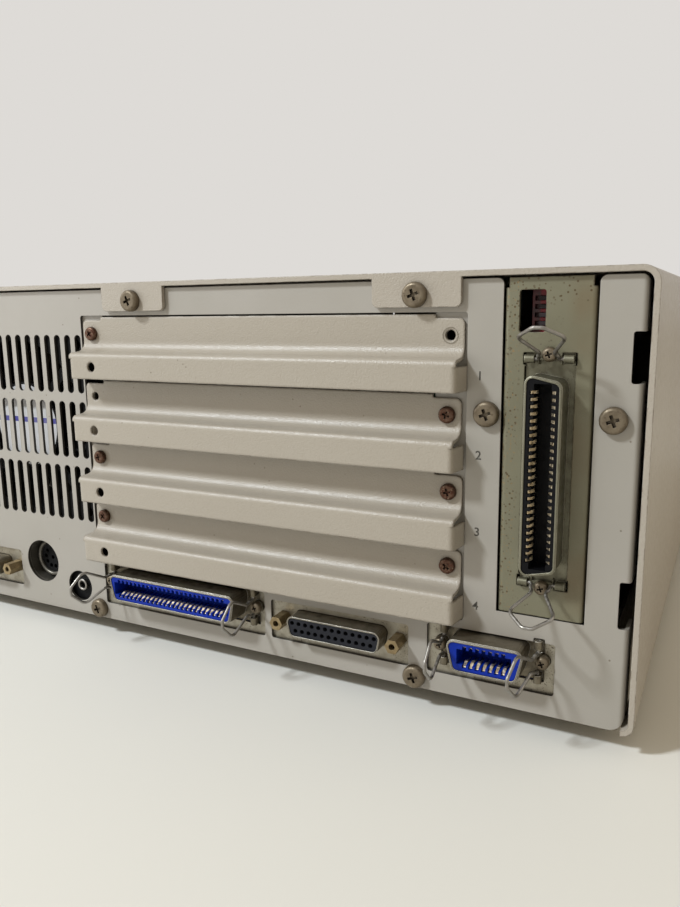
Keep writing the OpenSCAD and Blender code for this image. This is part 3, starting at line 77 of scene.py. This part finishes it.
class Look:
    """A Principled material whose texture nodes are laid down by short calls."""

    def __init__(self, name, base, roughness, metallic=0.0, coat=0.0, specular=0.5):
        self.material = bpy.data.materials.new(name)
        self.material.use_nodes = True
        self.tree = self.material.node_tree
        self.shader = self.tree.nodes["Principled BSDF"]
        self.colour = base
        self.rough = roughness
        self.normal = None
        self.shader.inputs["Metallic"].default_value = metallic
        self.shader.inputs["Specular IOR Level"].default_value = specular
        self.shader.inputs["Coat Weight"].default_value = coat
        self.shader.inputs["Coat Roughness"].default_value = 0.15
        self.place = self.node("ShaderNodeTexCoord").outputs["Object"]

    def node(self, kind, inputs=None, **settings):
        made = self.tree.nodes.new(kind)
        for key, value in settings.items():
            setattr(made, key, value)
        for key, value in (inputs or {}).items():
            self.feed(made.inputs[key], value)
        return made

    def feed(self, socket, value):
        if isinstance(value, bpy.types.NodeSocket):
            self.tree.links.new(value, socket)
        elif value is not None:
            socket.default_value = value

    def stretched(self, factors):
        """Object coordinates scaled differently along each axis, for brushed or streaked marks."""
        return self.node("ShaderNodeMapping", {"Vector": self.place, "Scale": factors}).outputs[0]

    def noise(self, size, detail=3.0, place=None):
        """Noise from 0 to 1 whose features are about size metres across."""
        inputs = {"Vector": place or self.place, "Scale": 1 / size, "Detail": detail}
        return self.node("ShaderNodeTexNoise", inputs).outputs["Fac"]

    def cells(self, size):
        """Distance to the nearest of scattered points about size metres apart, as a share of size."""
        inputs = {"Vector": self.place, "Scale": 1 / size}
        return self.node("ShaderNodeTexVoronoi", inputs).outputs["Distance"]

    def band(self, value, low, high):
        """Maps value from low..high onto 0..1, held at both ends. Low may be the larger of the two."""
        inputs = {"Value": value, "From Min": low, "From Max": high}
        return self.node("ShaderNodeMapRange", inputs, clamp=True).outputs["Result"]

    def times(self, one, two):
        return self.node("ShaderNodeMath", {0: one, 1: two}, operation="MULTIPLY").outputs[0]

    def most(self, one, two):
        return self.node("ShaderNodeMath", {0: one, 1: two}, operation="MAXIMUM").outputs[0]

    def opposite(self, mask):
        """Mask of everything that the mask leaves out."""
        return self.node("ShaderNodeMath", {0: 1.0, 1: mask}, operation="SUBTRACT").outputs[0]

    def axis(self, name):
        """One coordinate of the place, in metres in the object's own frame."""
        return self.node("ShaderNodeSeparateXYZ", {0: self.place}).outputs[name]

    def stain(self, colour, mask, strength=1.0):
        """Lays another colour over the base where the mask is high."""
        amount = mask if strength == 1.0 else self.times(mask, strength)
        mixed = self.node("ShaderNodeMix", {"Factor": amount, 6: self.colour, 7: colour},
                          data_type="RGBA")
        self.colour = mixed.outputs[2]

    def roughen(self, target, mask):
        """Moves the roughness to target where the mask is high."""
        mixed = self.node("ShaderNodeMix", {"Factor": mask, 2: self.rough, 3: target})
        self.rough = mixed.outputs[0]

    def rounded(self, radius):
        """The surface's normal, as if its sharp edges were rounded by radius metres."""
        return self.node("ShaderNodeBevel", {"Radius": radius}, samples=6).outputs[0]

    def edges(self, radius):
        """Mask of the sharp edges, within about radius metres of them."""
        flat = self.node("ShaderNodeNewGeometry").outputs["Normal"]
        agree = self.node("ShaderNodeVectorMath", {0: self.rounded(radius), 1: flat},
                          operation="DOT_PRODUCT").outputs["Value"]
        return self.band(agree, 0.998, 0.93)

    def painted_recess_shade(self, reach):
        """Mask of the corners and recesses that other surfaces close in within reach metres, where painted
        shade is laid.
        """
        shade = self.node("ShaderNodeAmbientOcclusion", {"Distance": reach}, samples=4)
        return self.band(shade.outputs["AO"], 0.75, 0.25)

    def soften(self, radius):
        """Shades sharp edges as if they were rounded by radius metres."""
        self.normal = self.rounded(radius)

    def bump(self, height, depth, strength):
        """Raises the surface by up to depth metres where height is 1."""
        inputs = {"Height": height, "Distance": depth, "Strength": strength, "Normal": self.normal}
        self.normal = self.node("ShaderNodeBump", inputs).outputs[0]

    def done(self):
        """Joins what was laid down to the shader, and gives the material."""
        self.feed(self.shader.inputs["Base Color"], self.colour)
        self.feed(self.shader.inputs["Roughness"], self.rough)
        self.feed(self.shader.inputs["Normal"], self.normal)
        return self.material


def mottle(look, colour, size, strength):
    """Broad, faint clouds of another tone, as on old paint."""
    look.stain(colour, look.band(look.noise(size, 4), 0.35, 0.7), strength)


# ---------- Materials ----------

def facing_out(look):
    """Mask of the sheet's flat faces towards the rear and the front, not its cut edges and folds."""
    normal = look.node("ShaderNodeNewGeometry").outputs["True Normal"]
    across = look.node("ShaderNodeSeparateXYZ", {0: normal}).outputs["Y"]
    size = look.node("ShaderNodeMath", {0: across}, operation="ABSOLUTE").outputs[0]
    return look.band(size, 0.3, 0.7)


def away_from_rim(look):
    """Mask of all of the rear panel but the folds along its four sides."""
    fold = 1.2 * MM
    clear = 2.2 * MM
    low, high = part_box("rear_panel")
    mask = 1.0
    for axis, start, end in (("X", low.x, high.x), ("Z", low.z, high.z)):
        along = look.axis(axis)
        mask = look.times(mask, look.band(along, start + fold, start + clear))
        mask = look.times(mask, look.band(along, end - fold, end - clear))
    return mask


def textured_paint(name, base, dirt, chips=0.6, bend=0.5 * MM):
    """Glossy enamel with a fine leathery grain, chipped and soiled along its edges, with painted shade in
    its corners.

    Its edges and bends are shaded as if they were rounded by bend metres.
    """
    look = Look(name, base, roughness=0.34)
    look.soften(bend)
    mottle(look, dirt, 70 * MM, 0.2)
    grain = look.noise(0.5 * MM, 1)
    look.stain(dirt, look.band(grain, 0.50, 0.36), 0.12)
    pits = look.times(look.band(look.cells(5 * MM), 0.07, 0.04),
                      look.band(look.noise(40 * MM), 0.4, 0.6))
    look.stain(rgb(84, 74, 60), pits, 0.7)
    worn = look.times(look.edges(0.6 * MM), look.band(look.noise(5 * MM, 4), 0.52, 0.57))
    look.stain(rgb(92, 76, 56), worn, chips)
    # Painted shade in the corners and recesses
    look.stain(rgb(70, 62, 50), look.painted_recess_shade(1.5 * MM), 0.5)
    look.roughen(0.42, look.band(look.noise(2.5 * MM, 2), 0.42, 0.68))
    look.bump(grain, 0.15 * MM, 0.9)
    return look.done()


def smooth_paint(name, base, shade):
    """Smooth satin paint with faint clouds and small specks, greyer on its cut edges and folds, with
    painted shade that darkens the cut edges inside its outer folds nearly to black.
    """
    look = Look(name, base, roughness=0.36)
    look.soften(0.3 * MM)
    mottle(look, shade, 45 * MM, 0.5)
    specks = look.band(look.cells(7 * MM), 0.055, 0.035)
    look.stain(rgb(92, 80, 64), specks, 0.7)
    scuffs = look.times(look.band(look.noise(0.8 * MM, 3), 0.66, 0.72),
                        look.band(look.noise(22 * MM), 0.52, 0.68))
    look.stain(rgb(136, 130, 120), scuffs, 0.35)
    edge = look.opposite(facing_out(look))
    # The cut edges and folds are made greyer
    look.stain(rgb(112, 108, 100), edge, 0.6)
    # Painted shade: the cut edges inside the outer folds are darkened nearly to black
    look.stain(rgb(40, 37, 32), look.times(edge, away_from_rim(look)), 0.9)
    look.roughen(0.5, look.band(look.noise(14 * MM), 0.4, 0.65))
    look.bump(look.noise(1.6 * MM, 2), 0.025 * MM, 0.5)
    return look.done()


def plated_steel(name, base, tarnish, roughness=0.42, freckle=0.7, edge_highlight=None):
    """Zinc or nickel plate gone dull and freckled, finely grained, with painted shade in its recesses. A
    colour may be given for a painted highlight along its sharp edges.
    """
    look = Look(name, base, roughness, metallic=0.8)
    look.soften(0.25 * MM)
    mottle(look, tarnish, 6 * MM, 0.5)
    freckles = look.times(look.band(look.noise(0.55 * MM, 2), 0.60, 0.66),
                          look.band(look.noise(5 * MM, 2), 0.36, 0.56))
    look.stain(rgb(64, 54, 42), freckles, freckle)
    # Painted highlight along the sharp edges where its colour is given, else tarnish there
    look.stain(edge_highlight or tarnish, look.edges(0.3 * MM), 0.8 if edge_highlight else 0.35)
    # Painted shade in the recesses
    look.stain(rgb(52, 44, 34), look.painted_recess_shade(1.2 * MM), 0.7)
    look.roughen(0.6, look.band(look.noise(3 * MM), 0.45, 0.65))
    look.bump(look.noise(0.3 * MM, 3, look.stretched((1, 1, 0.15))), 0.02 * MM, 0.6)
    look.bump(freckles, 0.03 * MM, 0.5)
    return look.done()


def bracket_paint(name, base, shade):
    """Drab greenish plate with dark specks and edges, rust dots along one side and its top, and painted
    shade in its recesses.
    """
    low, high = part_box("disk_bracket")
    look = Look(name, base, roughness=0.42, metallic=0.2)
    look.soften(0.4 * MM)
    mottle(look, shade, 14 * MM, 0.6)
    across = look.axis("X")
    smear = look.times(look.band(across, low.x + 9 * MM, low.x + 5 * MM),
                       look.band(look.noise(26 * MM), 0.40, 0.62))
    look.stain(rgb(104, 84, 56), smear, 0.45)
    side_strip = look.band(across, high.x - 5.5 * MM, high.x - 4.0 * MM)
    top_strip = look.band(look.axis("Z"), high.z - 9 * MM, high.z - 6 * MM)
    strips = look.most(side_strip, top_strip)
    dots = look.band(look.cells(1.3 * MM), 0.30, 0.20)
    gaps = look.band(look.noise(5 * MM, 2), 0.40, 0.48)
    look.stain(rgb(74, 56, 28), look.times(look.times(dots, gaps), strips), 0.9)
    specks = look.times(look.band(look.cells(1.6 * MM), 0.20, 0.13),
                        look.band(look.noise(9 * MM), 0.45, 0.55))
    beside = look.band(across, low.x + 8 * MM, low.x + 13 * MM)
    look.stain(rgb(66, 58, 42), look.times(specks, beside), 0.6)
    bloom = look.times(look.band(look.noise(0.9 * MM), 0.60, 0.68), side_strip)
    look.stain(rgb(150, 112, 58), bloom, 0.5)
    # Painted shade in the recesses
    look.stain(rgb(48, 42, 30), look.painted_recess_shade(1.5 * MM), 0.6)
    worn = look.times(look.edges(0.6 * MM), look.band(look.noise(2.2 * MM, 4), 0.42, 0.56))
    look.stain(rgb(58, 48, 34), worn, 0.8)
    look.bump(look.noise(0.5 * MM, 2), 0.04 * MM, 0.6)
    look.bump(dots, 0.04 * MM, 0.4)
    return look.done()


def moulded(name, base, tone, roughness, coat=0.0, specular=0.5):
    """Moulded plastic with soft edges, a faint grain and a little change of tone."""
    look = Look(name, base, roughness, coat=coat, specular=specular)
    look.soften(0.25 * MM)
    mottle(look, tone, 8 * MM, 0.5)
    look.roughen(min(1.0, roughness + 0.18), look.band(look.noise(2.5 * MM), 0.5, 0.7))
    look.bump(look.noise(0.35 * MM, 2), 0.02 * MM, 0.6)
    return look.done()


def switch_red(name, base):
    """Red moulding darkened nearly to black by a painted shadow, apart from a strip along one side."""
    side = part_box("switch_body")[0].x
    look = Look(name, base, roughness=0.4)
    look.soften(0.2 * MM)
    # Painted shadow over all of the body but a strip along one side
    painted_shadow = look.band(look.axis("X"), side + 3.1 * MM, side + 3.9 * MM)
    look.stain(rgb(34, 12, 16), painted_shadow, 0.92)
    mottle(look, rgb(110, 12, 24), 3 * MM, 0.5)
    look.bump(look.noise(0.35 * MM, 2), 0.02 * MM, 0.6)
    return look.done()


def worn_metal(name, base, dirt, roughness, spots, metallic=0.9, reach=0.9 * MM):
    """Turned or drawn metal, dull with dirt in patches, with painted shade in recesses within reach metres
    of others.
    """
    look = Look(name, base, roughness, metallic=metallic)
    look.soften(0.15 * MM)
    mottle(look, dirt, 3 * MM, 0.55)
    look.stain(dirt, look.band(look.noise(0.8 * MM, 4), 0.58, 0.70), spots)
    # Painted shade in the recesses
    look.stain(rgb(34, 27, 20), look.painted_recess_shade(reach), 0.9)
    look.roughen(min(1.0, roughness + 0.25), look.band(look.noise(1.1 * MM, 3), 0.42, 0.62))
    look.bump(look.noise(0.3 * MM, 3), 0.02 * MM, 0.6)
    return look.done()


def rusted_screw(name):
    """Bronze coloured screw with red rust, bright worn flecks and painted shade in its recess."""
    look = Look(name, rgb(98, 76, 62), roughness=0.34, metallic=0.85)
    look.soften(0.15 * MM)
    look.stain(rgb(78, 46, 34), look.band(look.noise(1.0 * MM, 4), 0.46, 0.58), 0.8)
    look.stain(rgb(188, 170, 146), look.band(look.noise(0.6 * MM, 3), 0.64, 0.70), 0.7)
    # Painted shade in the recess
    look.stain(rgb(34, 22, 16), look.painted_recess_shade(0.9 * MM), 0.9)
    look.roughen(0.7, look.band(look.noise(0.9 * MM, 3), 0.42, 0.6))
    look.bump(look.noise(0.35 * MM, 3), 0.05 * MM, 0.8)
    return look.done()


BOARD_GREEN = rgb(30, 70, 46)
TRACE_GREEN = rgb(58, 112, 68)


def printed_board(name):
    """Green lacquered board with paler traces, painted black as painted shade above the main board's face.
    """
    look = Look(name, BOARD_GREEN, roughness=0.3, coat=0.4)
    black = (0, 0, 0, 1)
    white = (1, 1, 1, 1)
    traces = look.node("ShaderNodeTexBrick", {"Vector": look.place, "Scale": 60.0, "Mortar Size": 0.06,
                                              "Color1": black, "Color2": black, "Mortar": white})
    look.stain(TRACE_GREEN, traces.outputs["Color"], 0.6)
    # Painted shade: all of the board above the main board's face is black
    chips = look.band(look.axis("Z"), PANEL_BOTTOM + 8.3 * MM, PANEL_BOTTOM + 8.5 * MM)
    look.stain(rgb(24, 24, 26), chips)
    look.bump(look.noise(0.5 * MM, 2), 0.02 * MM, 0.4)
    return look.done()


def slot_board(name):
    """Green board that carries pale card sockets."""
    look = Look(name, BOARD_GREEN, roughness=0.35, coat=0.3)
    look.stain(TRACE_GREEN, look.band(look.noise(3 * MM, 1), 0.55, 0.6), 0.4)
    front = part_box("slot_backplane")[0].y
    sockets = look.band(look.axis("Y"), front + 1.7 * MM, front + 1.8 * MM)
    look.stain(rgb(150, 146, 132), sockets)
    look.bump(look.noise(0.5 * MM, 2), 0.02 * MM, 0.4)
    return look.done()


LOOKS = {
    "cover_paint": textured_paint("cover_paint", rgb(168, 160, 149), rgb(146, 137, 123)),
    "panel_paint": smooth_paint("panel_paint", rgb(161, 156, 149), rgb(150, 146, 137)),
    "chassis_steel": plated_steel("chassis_steel", rgb(166, 160, 145), rgb(118, 108, 90)),
    "bracket_paint": bracket_paint("bracket_paint", rgb(118, 115, 95), rgb(108, 104, 84)),
    "bezel_plastic": textured_paint("bezel_plastic", rgb(190, 181, 163), rgb(176, 166, 146), chips=0.2),
    # The nickel shells' sharp edges carry a painted highlight
    "shell_nickel": plated_steel("shell_nickel", rgb(122, 114, 98), rgb(78, 70, 56), roughness=0.34,
                                 freckle=0.5, edge_highlight=rgb(206, 202, 192)),
    "insert_blue": moulded("insert_blue", rgb(4, 42, 152), rgb(3, 32, 122), roughness=0.34, specular=0.18),
    "insert_black": moulded("insert_black", rgb(14, 14, 17), rgb(10, 10, 12), roughness=0.45,
                            specular=0.12),
    "contact_gold": worn_metal("contact_gold", rgb(250, 236, 208), rgb(206, 176, 130), roughness=0.26,
                               spots=0.3),
    "bail_steel": worn_metal("bail_steel", rgb(154, 150, 144), rgb(118, 112, 104), roughness=0.3,
                             spots=0.2),
    "brass": worn_metal("brass", rgb(158, 140, 106), rgb(100, 82, 58), roughness=0.38, spots=0.6),
    "screw_nickel": worn_metal("screw_nickel", rgb(120, 108, 90), rgb(76, 64, 48), roughness=0.36,
                               spots=0.8, metallic=0.6, reach=1.8 * MM),
    "screw_bronze": rusted_screw("screw_bronze"),
    "rubber": moulded("rubber", rgb(40, 40, 40), rgb(54, 52, 50), roughness=0.75),
    "board_green": printed_board("board_green"),
    "black_plastic": moulded("black_plastic", rgb(17, 17, 18), rgb(12, 12, 13), roughness=0.55,
                             specular=0.14),
    "switch_red": switch_red("switch_red", rgb(150, 16, 34)),
    # The switch's white sliders are given dark grey as painted shade
    "switch_white": moulded("switch_white", rgb(58, 50, 52), rgb(46, 38, 40), roughness=0.5,
                            specular=0.2),
    "lamp_lens": moulded("lamp_lens", rgb(150, 30, 28), rgb(120, 22, 20), roughness=0.12, coat=0.6),
    "drive_plastic": textured_paint("drive_plastic", rgb(180, 172, 153), rgb(162, 153, 133), chips=0.2),
    "lever_plastic": moulded("lever_plastic", rgb(74, 72, 70), rgb(60, 58, 56), roughness=0.5),
}

SLOT_PAINT = textured_paint("slot_cover_paint", rgb(164, 156, 144), rgb(146, 137, 123), bend=1.2 * MM)
PORT_SLATE = moulded("insert_slate", rgb(38, 39, 45), rgb(30, 31, 36), roughness=0.45, specular=0.14)

# Nodes whose finish is a variety of their material slot's
OWN_LOOKS = {
    **dict.fromkeys(SLOT_COVERS, SLOT_PAINT),
    "slot_backplane": slot_board("slot_board"),
    "serial_port_insert": PORT_SLATE,
    "monitor_port_insert": PORT_SLATE,
    "video_socket_insert": LOOKS["black_plastic"],
    # The disk port's shell carries a painted highlight along its sharp edges
    "disk_port_shell": plated_steel("shell_dull", rgb(120, 117, 100), rgb(80, 76, 60), roughness=0.4,
                                    freckle=0.5, edge_highlight=rgb(168, 164, 146)),
    "video_socket_cup": plated_steel("cup_dull", rgb(116, 112, 104), rgb(70, 66, 58), roughness=0.4,
                                     freckle=0.5),
}


def dress_cad():
    """Gives each CAD node its material, with smooth shading across its curved faces."""
    for part in frame["record"]["subparts"]:
        piece = NODES[part["node"]]
        piece.data.materials.clear()
        piece.data.materials.append(OWN_LOOKS.get(part["node"], LOOKS[part["material_slot"]]))
        piece.data.shade_smooth()
        piece.data.set_sharp_from_angle(angle=SMOOTH_ANGLE)


# ---------- Small pieces that the CAD leaves out ----------

def add_to_scene(made):
    bpy.context.scene.collection.objects.link(made)


def dress(piece, node, look):
    """Gives a piece its look and its slot, and lets it ride with the CAD node that carries it."""
    piece.data.materials.clear()
    piece.data.materials.append(look)
    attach(piece, BODY_OF[node])


# Points nearer to each other than this are one, such as those of a profile's end on the axis
SAME_POINT = 0.0001 * MM


def turned(name, centre_x, centre_z, profile, steps=48):
    """A shape of revolution about a line that runs front to back, from radius and depth pairs."""
    shape = bmesh.new()
    rings = []
    for step in range(steps):
        angle = 2 * math.pi * step / steps
        ring = [shape.verts.new((centre_x + radius * math.cos(angle), depth,
                                 centre_z + radius * math.sin(angle))) for radius, depth in profile]
        rings.append(ring)
    count = len(profile)
    for step in range(steps):
        one, other = rings[step], rings[(step + 1) % steps]
        for k in range(count):
            after = (k + 1) % count
            shape.faces.new((one[k], other[k], other[after], one[after]))
    bmesh.ops.remove_doubles(shape, verts=shape.verts, dist=SAME_POINT)
    bmesh.ops.recalc_face_normals(shape, faces=shape.faces)
    mesh = bpy.data.meshes.new(name)
    shape.to_mesh(mesh)
    shape.free()
    mesh.shade_smooth()
    mesh.set_sharp_from_angle(angle=SMOOTH_ANGLE)
    piece = bpy.data.objects.new(name, mesh)
    add_to_scene(piece)
    return piece


def ring_outline(inner, outer, fixed, free, chamfer):
    """Radius and depth pairs of a ring, from its fixed end to its free one, whose edges are chamfered."""
    shoulder = free + math.copysign(chamfer, fixed - free)
    return [(inner, fixed), (inner, shoulder), (inner + chamfer, free),
            (outer - chamfer, free), (outer, shoulder), (outer, fixed)]


# The slot numbers' place beside the slots, the first one's height over the panel's lower edge, how
# far each is below the one before, their size, how far the ink spreads and how far it stands up
NUMBER_X = -138.6 * MM
NUMBER_TOP = 110 * MM
SLOT_PITCH = 25.4 * MM
NUMBER_SIZE = 4 * MM
INK_SPREAD = 0.06 * MM
INK_RISE = 0.03 * MM


def slot_numbers():
    """The figures 1 to 4 printed beside the slots."""
    ink = moulded("number_ink", rgb(66, 63, 57), rgb(84, 80, 72), roughness=0.5)
    for k in range(len(SLOT_COVERS)):
        letter = bpy.data.curves.new(f"slot_number_{k + 1}", "FONT")
        letter.body = str(k + 1)
        letter.size = NUMBER_SIZE
        letter.extrude = INK_RISE / 2
        letter.offset = INK_SPREAD
        letter.align_x = "CENTER"
        letter.align_y = "CENTER"
        piece = bpy.data.objects.new(letter.name, letter)
        piece.location = (NUMBER_X, REAR + INK_RISE / 2, PANEL_BOTTOM + NUMBER_TOP - k * SLOT_PITCH)
        piece.rotation_euler = (math.radians(90), 0, math.radians(180))
        add_to_scene(piece)
        dress(piece, "rear_panel", ink)


# The rear face of the fan's hub, the radius and thickness of its label, and the blue band's place
# over the label's middle, half its width and how far its edges are blurred
HUB_FACE = REAR - 3.6 * MM
LABEL_R = 18 * MM
LABEL_T = 0.15 * MM
BAND_UP = 2.4 * MM
BAND_HALF = 1.2 * MM
BAND_BLUR = 0.1 * MM


def fan_label():
    """The round paper label on the fan's hub, with a blue band across it."""
    low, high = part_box("fan_frame")
    middle_x = (low.x + high.x) / 2
    middle_z = (low.z + high.z) / 2
    look = Look("label_paper", rgb(214, 214, 216), roughness=0.55)
    height = look.axis("Z")
    bottom = middle_z + BAND_UP - BAND_HALF
    top = middle_z + BAND_UP + BAND_HALF
    band = look.times(look.band(height, bottom, bottom + BAND_BLUR),
                      look.band(height, top, top - BAND_BLUR))
    look.stain(rgb(40, 36, 150), band)
    mottle(look, rgb(190, 188, 186), 10 * MM, 0.4)
    look.bump(look.noise(0.5 * MM, 2), 0.01 * MM, 0.5)
    face = HUB_FACE + LABEL_T
    disc = [(0, HUB_FACE), (LABEL_R, HUB_FACE), (LABEL_R, face), (0, face)]
    label = turned("fan_label", middle_x, middle_z, disc, steps=72)
    dress(label, "fan_frame", look.done())


# The sound jack's middle, and the rear face of its barrel
JACK_X = 41.2 * MM
JACK_Z = 20 * MM
JACK_FACE = REAR - 1.2 * MM


def jack_ring():
    """The metal mouth of the sound jack."""
    outline = ring_outline(inner=1.65 * MM, outer=2.6 * MM, fixed=JACK_FACE - 1.5 * MM,
                           free=JACK_FACE + 0.3 * MM, chamfer=0.25 * MM)
    ring = turned("jack_ring", JACK_X, JACK_Z, outline)
    dress(ring, "sound_jack", LOOKS["bail_steel"])


# How far the hole in a slot cover's flange is from the cover's end and lower edge, the flange's
# thickness, how far the collar reaches in behind it, and the cover whose collar is painted
HOLE_IN = 12.7 * MM
HOLE_UP = 4.8 * MM
FLANGE_T = 1 * MM
COLLAR_L = 3 * MM
PAINTED_COLLAR = "slot_cover_2"


def hole_collars():
    """The short collar behind each slot cover's flange, round the hole in it. Black as painted shade in
    the holes, but for one in the cover's paint.
    """
    # The black collars are painted shade inside the flange holes
    black = moulded("collar_black", rgb(12, 11, 10), rgb(18, 16, 14), roughness=0.7, specular=0.1)
    for k, cover in enumerate(SLOT_COVERS, start=1):
        low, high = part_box(cover)
        inner_face = high.y - FLANGE_T
        outline = ring_outline(inner=1.93 * MM, outer=2.7 * MM, fixed=inner_face,
                               free=inner_face - COLLAR_L, chamfer=0.2 * MM)
        collar = turned(f"hole_collar_{k}", high.x - HOLE_IN, low.z + HOLE_UP, outline, steps=32)
        look = LOOKS["cover_paint"] if cover == PAINTED_COLLAR else black
        dress(collar, cover, look)


# The first slot cover's screw hole that has lost its screw
EMPTY_HOLE_X = -128.7 * MM
EMPTY_HOLE_Z = 130.2 * MM


def washer_mark():
    """The thin dark line that a screw's washer left round the first slot cover's empty hole."""
    outline = ring_outline(inner=2.42 * MM, outer=2.56 * MM, fixed=REAR - 0.05 * MM,
                           free=REAR + 0.02 * MM, chamfer=0.02 * MM)
    mark = turned("washer_mark", EMPTY_HOLE_X, EMPTY_HOLE_Z, outline)
    look = moulded("mark_edge", rgb(122, 112, 96), rgb(140, 130, 114), roughness=0.5)
    dress(mark, "slot_cover_1", look)


# ---------- Floor, light and camera ----------

FLOOR_R = 6


def floor():
    """The pale round floor that the computer stands on."""
    bpy.ops.mesh.primitive_circle_add(vertices=96, radius=FLOOR_R, fill_type="NGON")
    plane = bpy.context.object
    plane.name = "floor"
    look = Look("floor_white", rgb(223, 222, 218), roughness=0.55)
    mottle(look, rgb(219, 218, 212), 400 * MM, 0.5)
    plane.data.materials.append(look.done())


def world():
    """Soft warm light from all round, and a pale background where the camera, gloss or glass sees it."""
    made = bpy.data.worlds.new("studio")
    bpy.context.scene.world = made
    made.use_nodes = True
    nodes = made.node_tree.nodes
    links = made.node_tree.links
    output = nodes["World Output"]
    ambient = nodes["Background"]
    ambient.inputs["Color"].default_value = (1.0, 0.86, 0.64, 1)
    ambient.inputs["Strength"].default_value = 0.42
    seen = nodes.new("ShaderNodeBackground")
    seen.inputs["Color"].default_value = rgb(222, 219, 215)
    seen.inputs["Strength"].default_value = 1.0
    path = nodes.new("ShaderNodeLightPath")
    either = nodes.new("ShaderNodeMath")
    either.operation = "MAXIMUM"
    links.new(path.outputs["Is Camera Ray"], either.inputs[0])
    glossy = nodes.new("ShaderNodeMath")
    glossy.operation = "MAXIMUM"
    links.new(path.outputs["Is Glossy Ray"], glossy.inputs[0])
    links.new(path.outputs["Is Transmission Ray"], glossy.inputs[1])
    links.new(glossy.outputs[0], either.inputs[1])
    mix = nodes.new("ShaderNodeMixShader")
    links.new(either.outputs[0], mix.inputs[0])
    links.new(ambient.outputs[0], mix.inputs[1])
    links.new(seen.outputs[0], mix.inputs[2])
    links.new(mix.outputs[0], output.inputs[0])


def lamp(name, spot, aim, size, power, colour, shape="SQUARE"):
    """A soft lamp at a spot, turned to an aim. Its size is in metres and its power in watts."""
    light = bpy.data.lights.new(name, "AREA")
    light.shape = shape
    light.size = size
    light.energy = power
    light.color = colour
    holder = bpy.data.objects.new(name, light)
    holder.location = spot
    holder.rotation_euler = (aim - spot).to_track_quat("-Z", "Y").to_euler()
    holder.visible_camera = False
    add_to_scene(holder)


# Which way the key's light travels, and how far it is from what it is aimed at
KEY_TRAVEL = Vector((-0.506, -0.538, -0.673))
KEY_DISTANCE = 2.2


def lamps():
    """A key above the rear, a window's glow low beside it, and a warm one beyond the far side."""
    slots = Vector((-100 * MM, REAR, 70 * MM))
    lamp("key", spot=slots - KEY_TRAVEL.normalized() * KEY_DISTANCE, aim=slots,
         size=0.27, power=42.0, colour=(0.90, 0.96, 1.0), shape="DISK")
    lamp("window", spot=Vector((0.75, REAR + 0.42, 0.35)), aim=Vector((0, REAR, 80 * MM)),
         size=0.5, power=2.0, colour=(0.96, 0.98, 1.0))
    lamp("room", spot=Vector((-1.1, -0.15, 0.6)), aim=Vector((-190 * MM, 0, 80 * MM)),
         size=0.8, power=1.6, colour=(1.0, 0.84, 0.58))


# The camera's eye, which way it looks, which way is up for it, its lens and its sensor's width in
# millimetres, and how near it a thing may be and still be seen
EYE = Vector((-209.66 * MM, REAR + 234.5 * MM, 139.52 * MM))
LOOK_ALONG = Vector((0.44977, -0.87323, -0.18755))
UP = Vector((0.07307, -0.17330, 0.98215))
LENS = 30.49
SENSOR = 36
NEAREST_SEEN = 10 * MM


def camera():
    """The camera, where the photo's was."""
    made = bpy.data.cameras.new("camera")
    made.lens = LENS
    made.sensor_width = SENSOR
    made.clip_start = NEAREST_SEEN
    holder = bpy.data.objects.new("camera", made)
    right = LOOK_ALONG.cross(UP).normalized()
    up = right.cross(LOOK_ALONG).normalized()
    turn = Matrix((right, up, -LOOK_ALONG.normalized())).transposed()
    holder.matrix_world = Matrix.Translation(EYE) @ turn.to_4x4()
    add_to_scene(holder)
    bpy.context.scene.camera = holder


bpy.context.scene.view_settings.view_transform = "Standard"
camera()
floor()
world()
lamps()
dress_cad()
slot_numbers()
fan_label()
jack_ring()
hole_collars()
washer_mark()
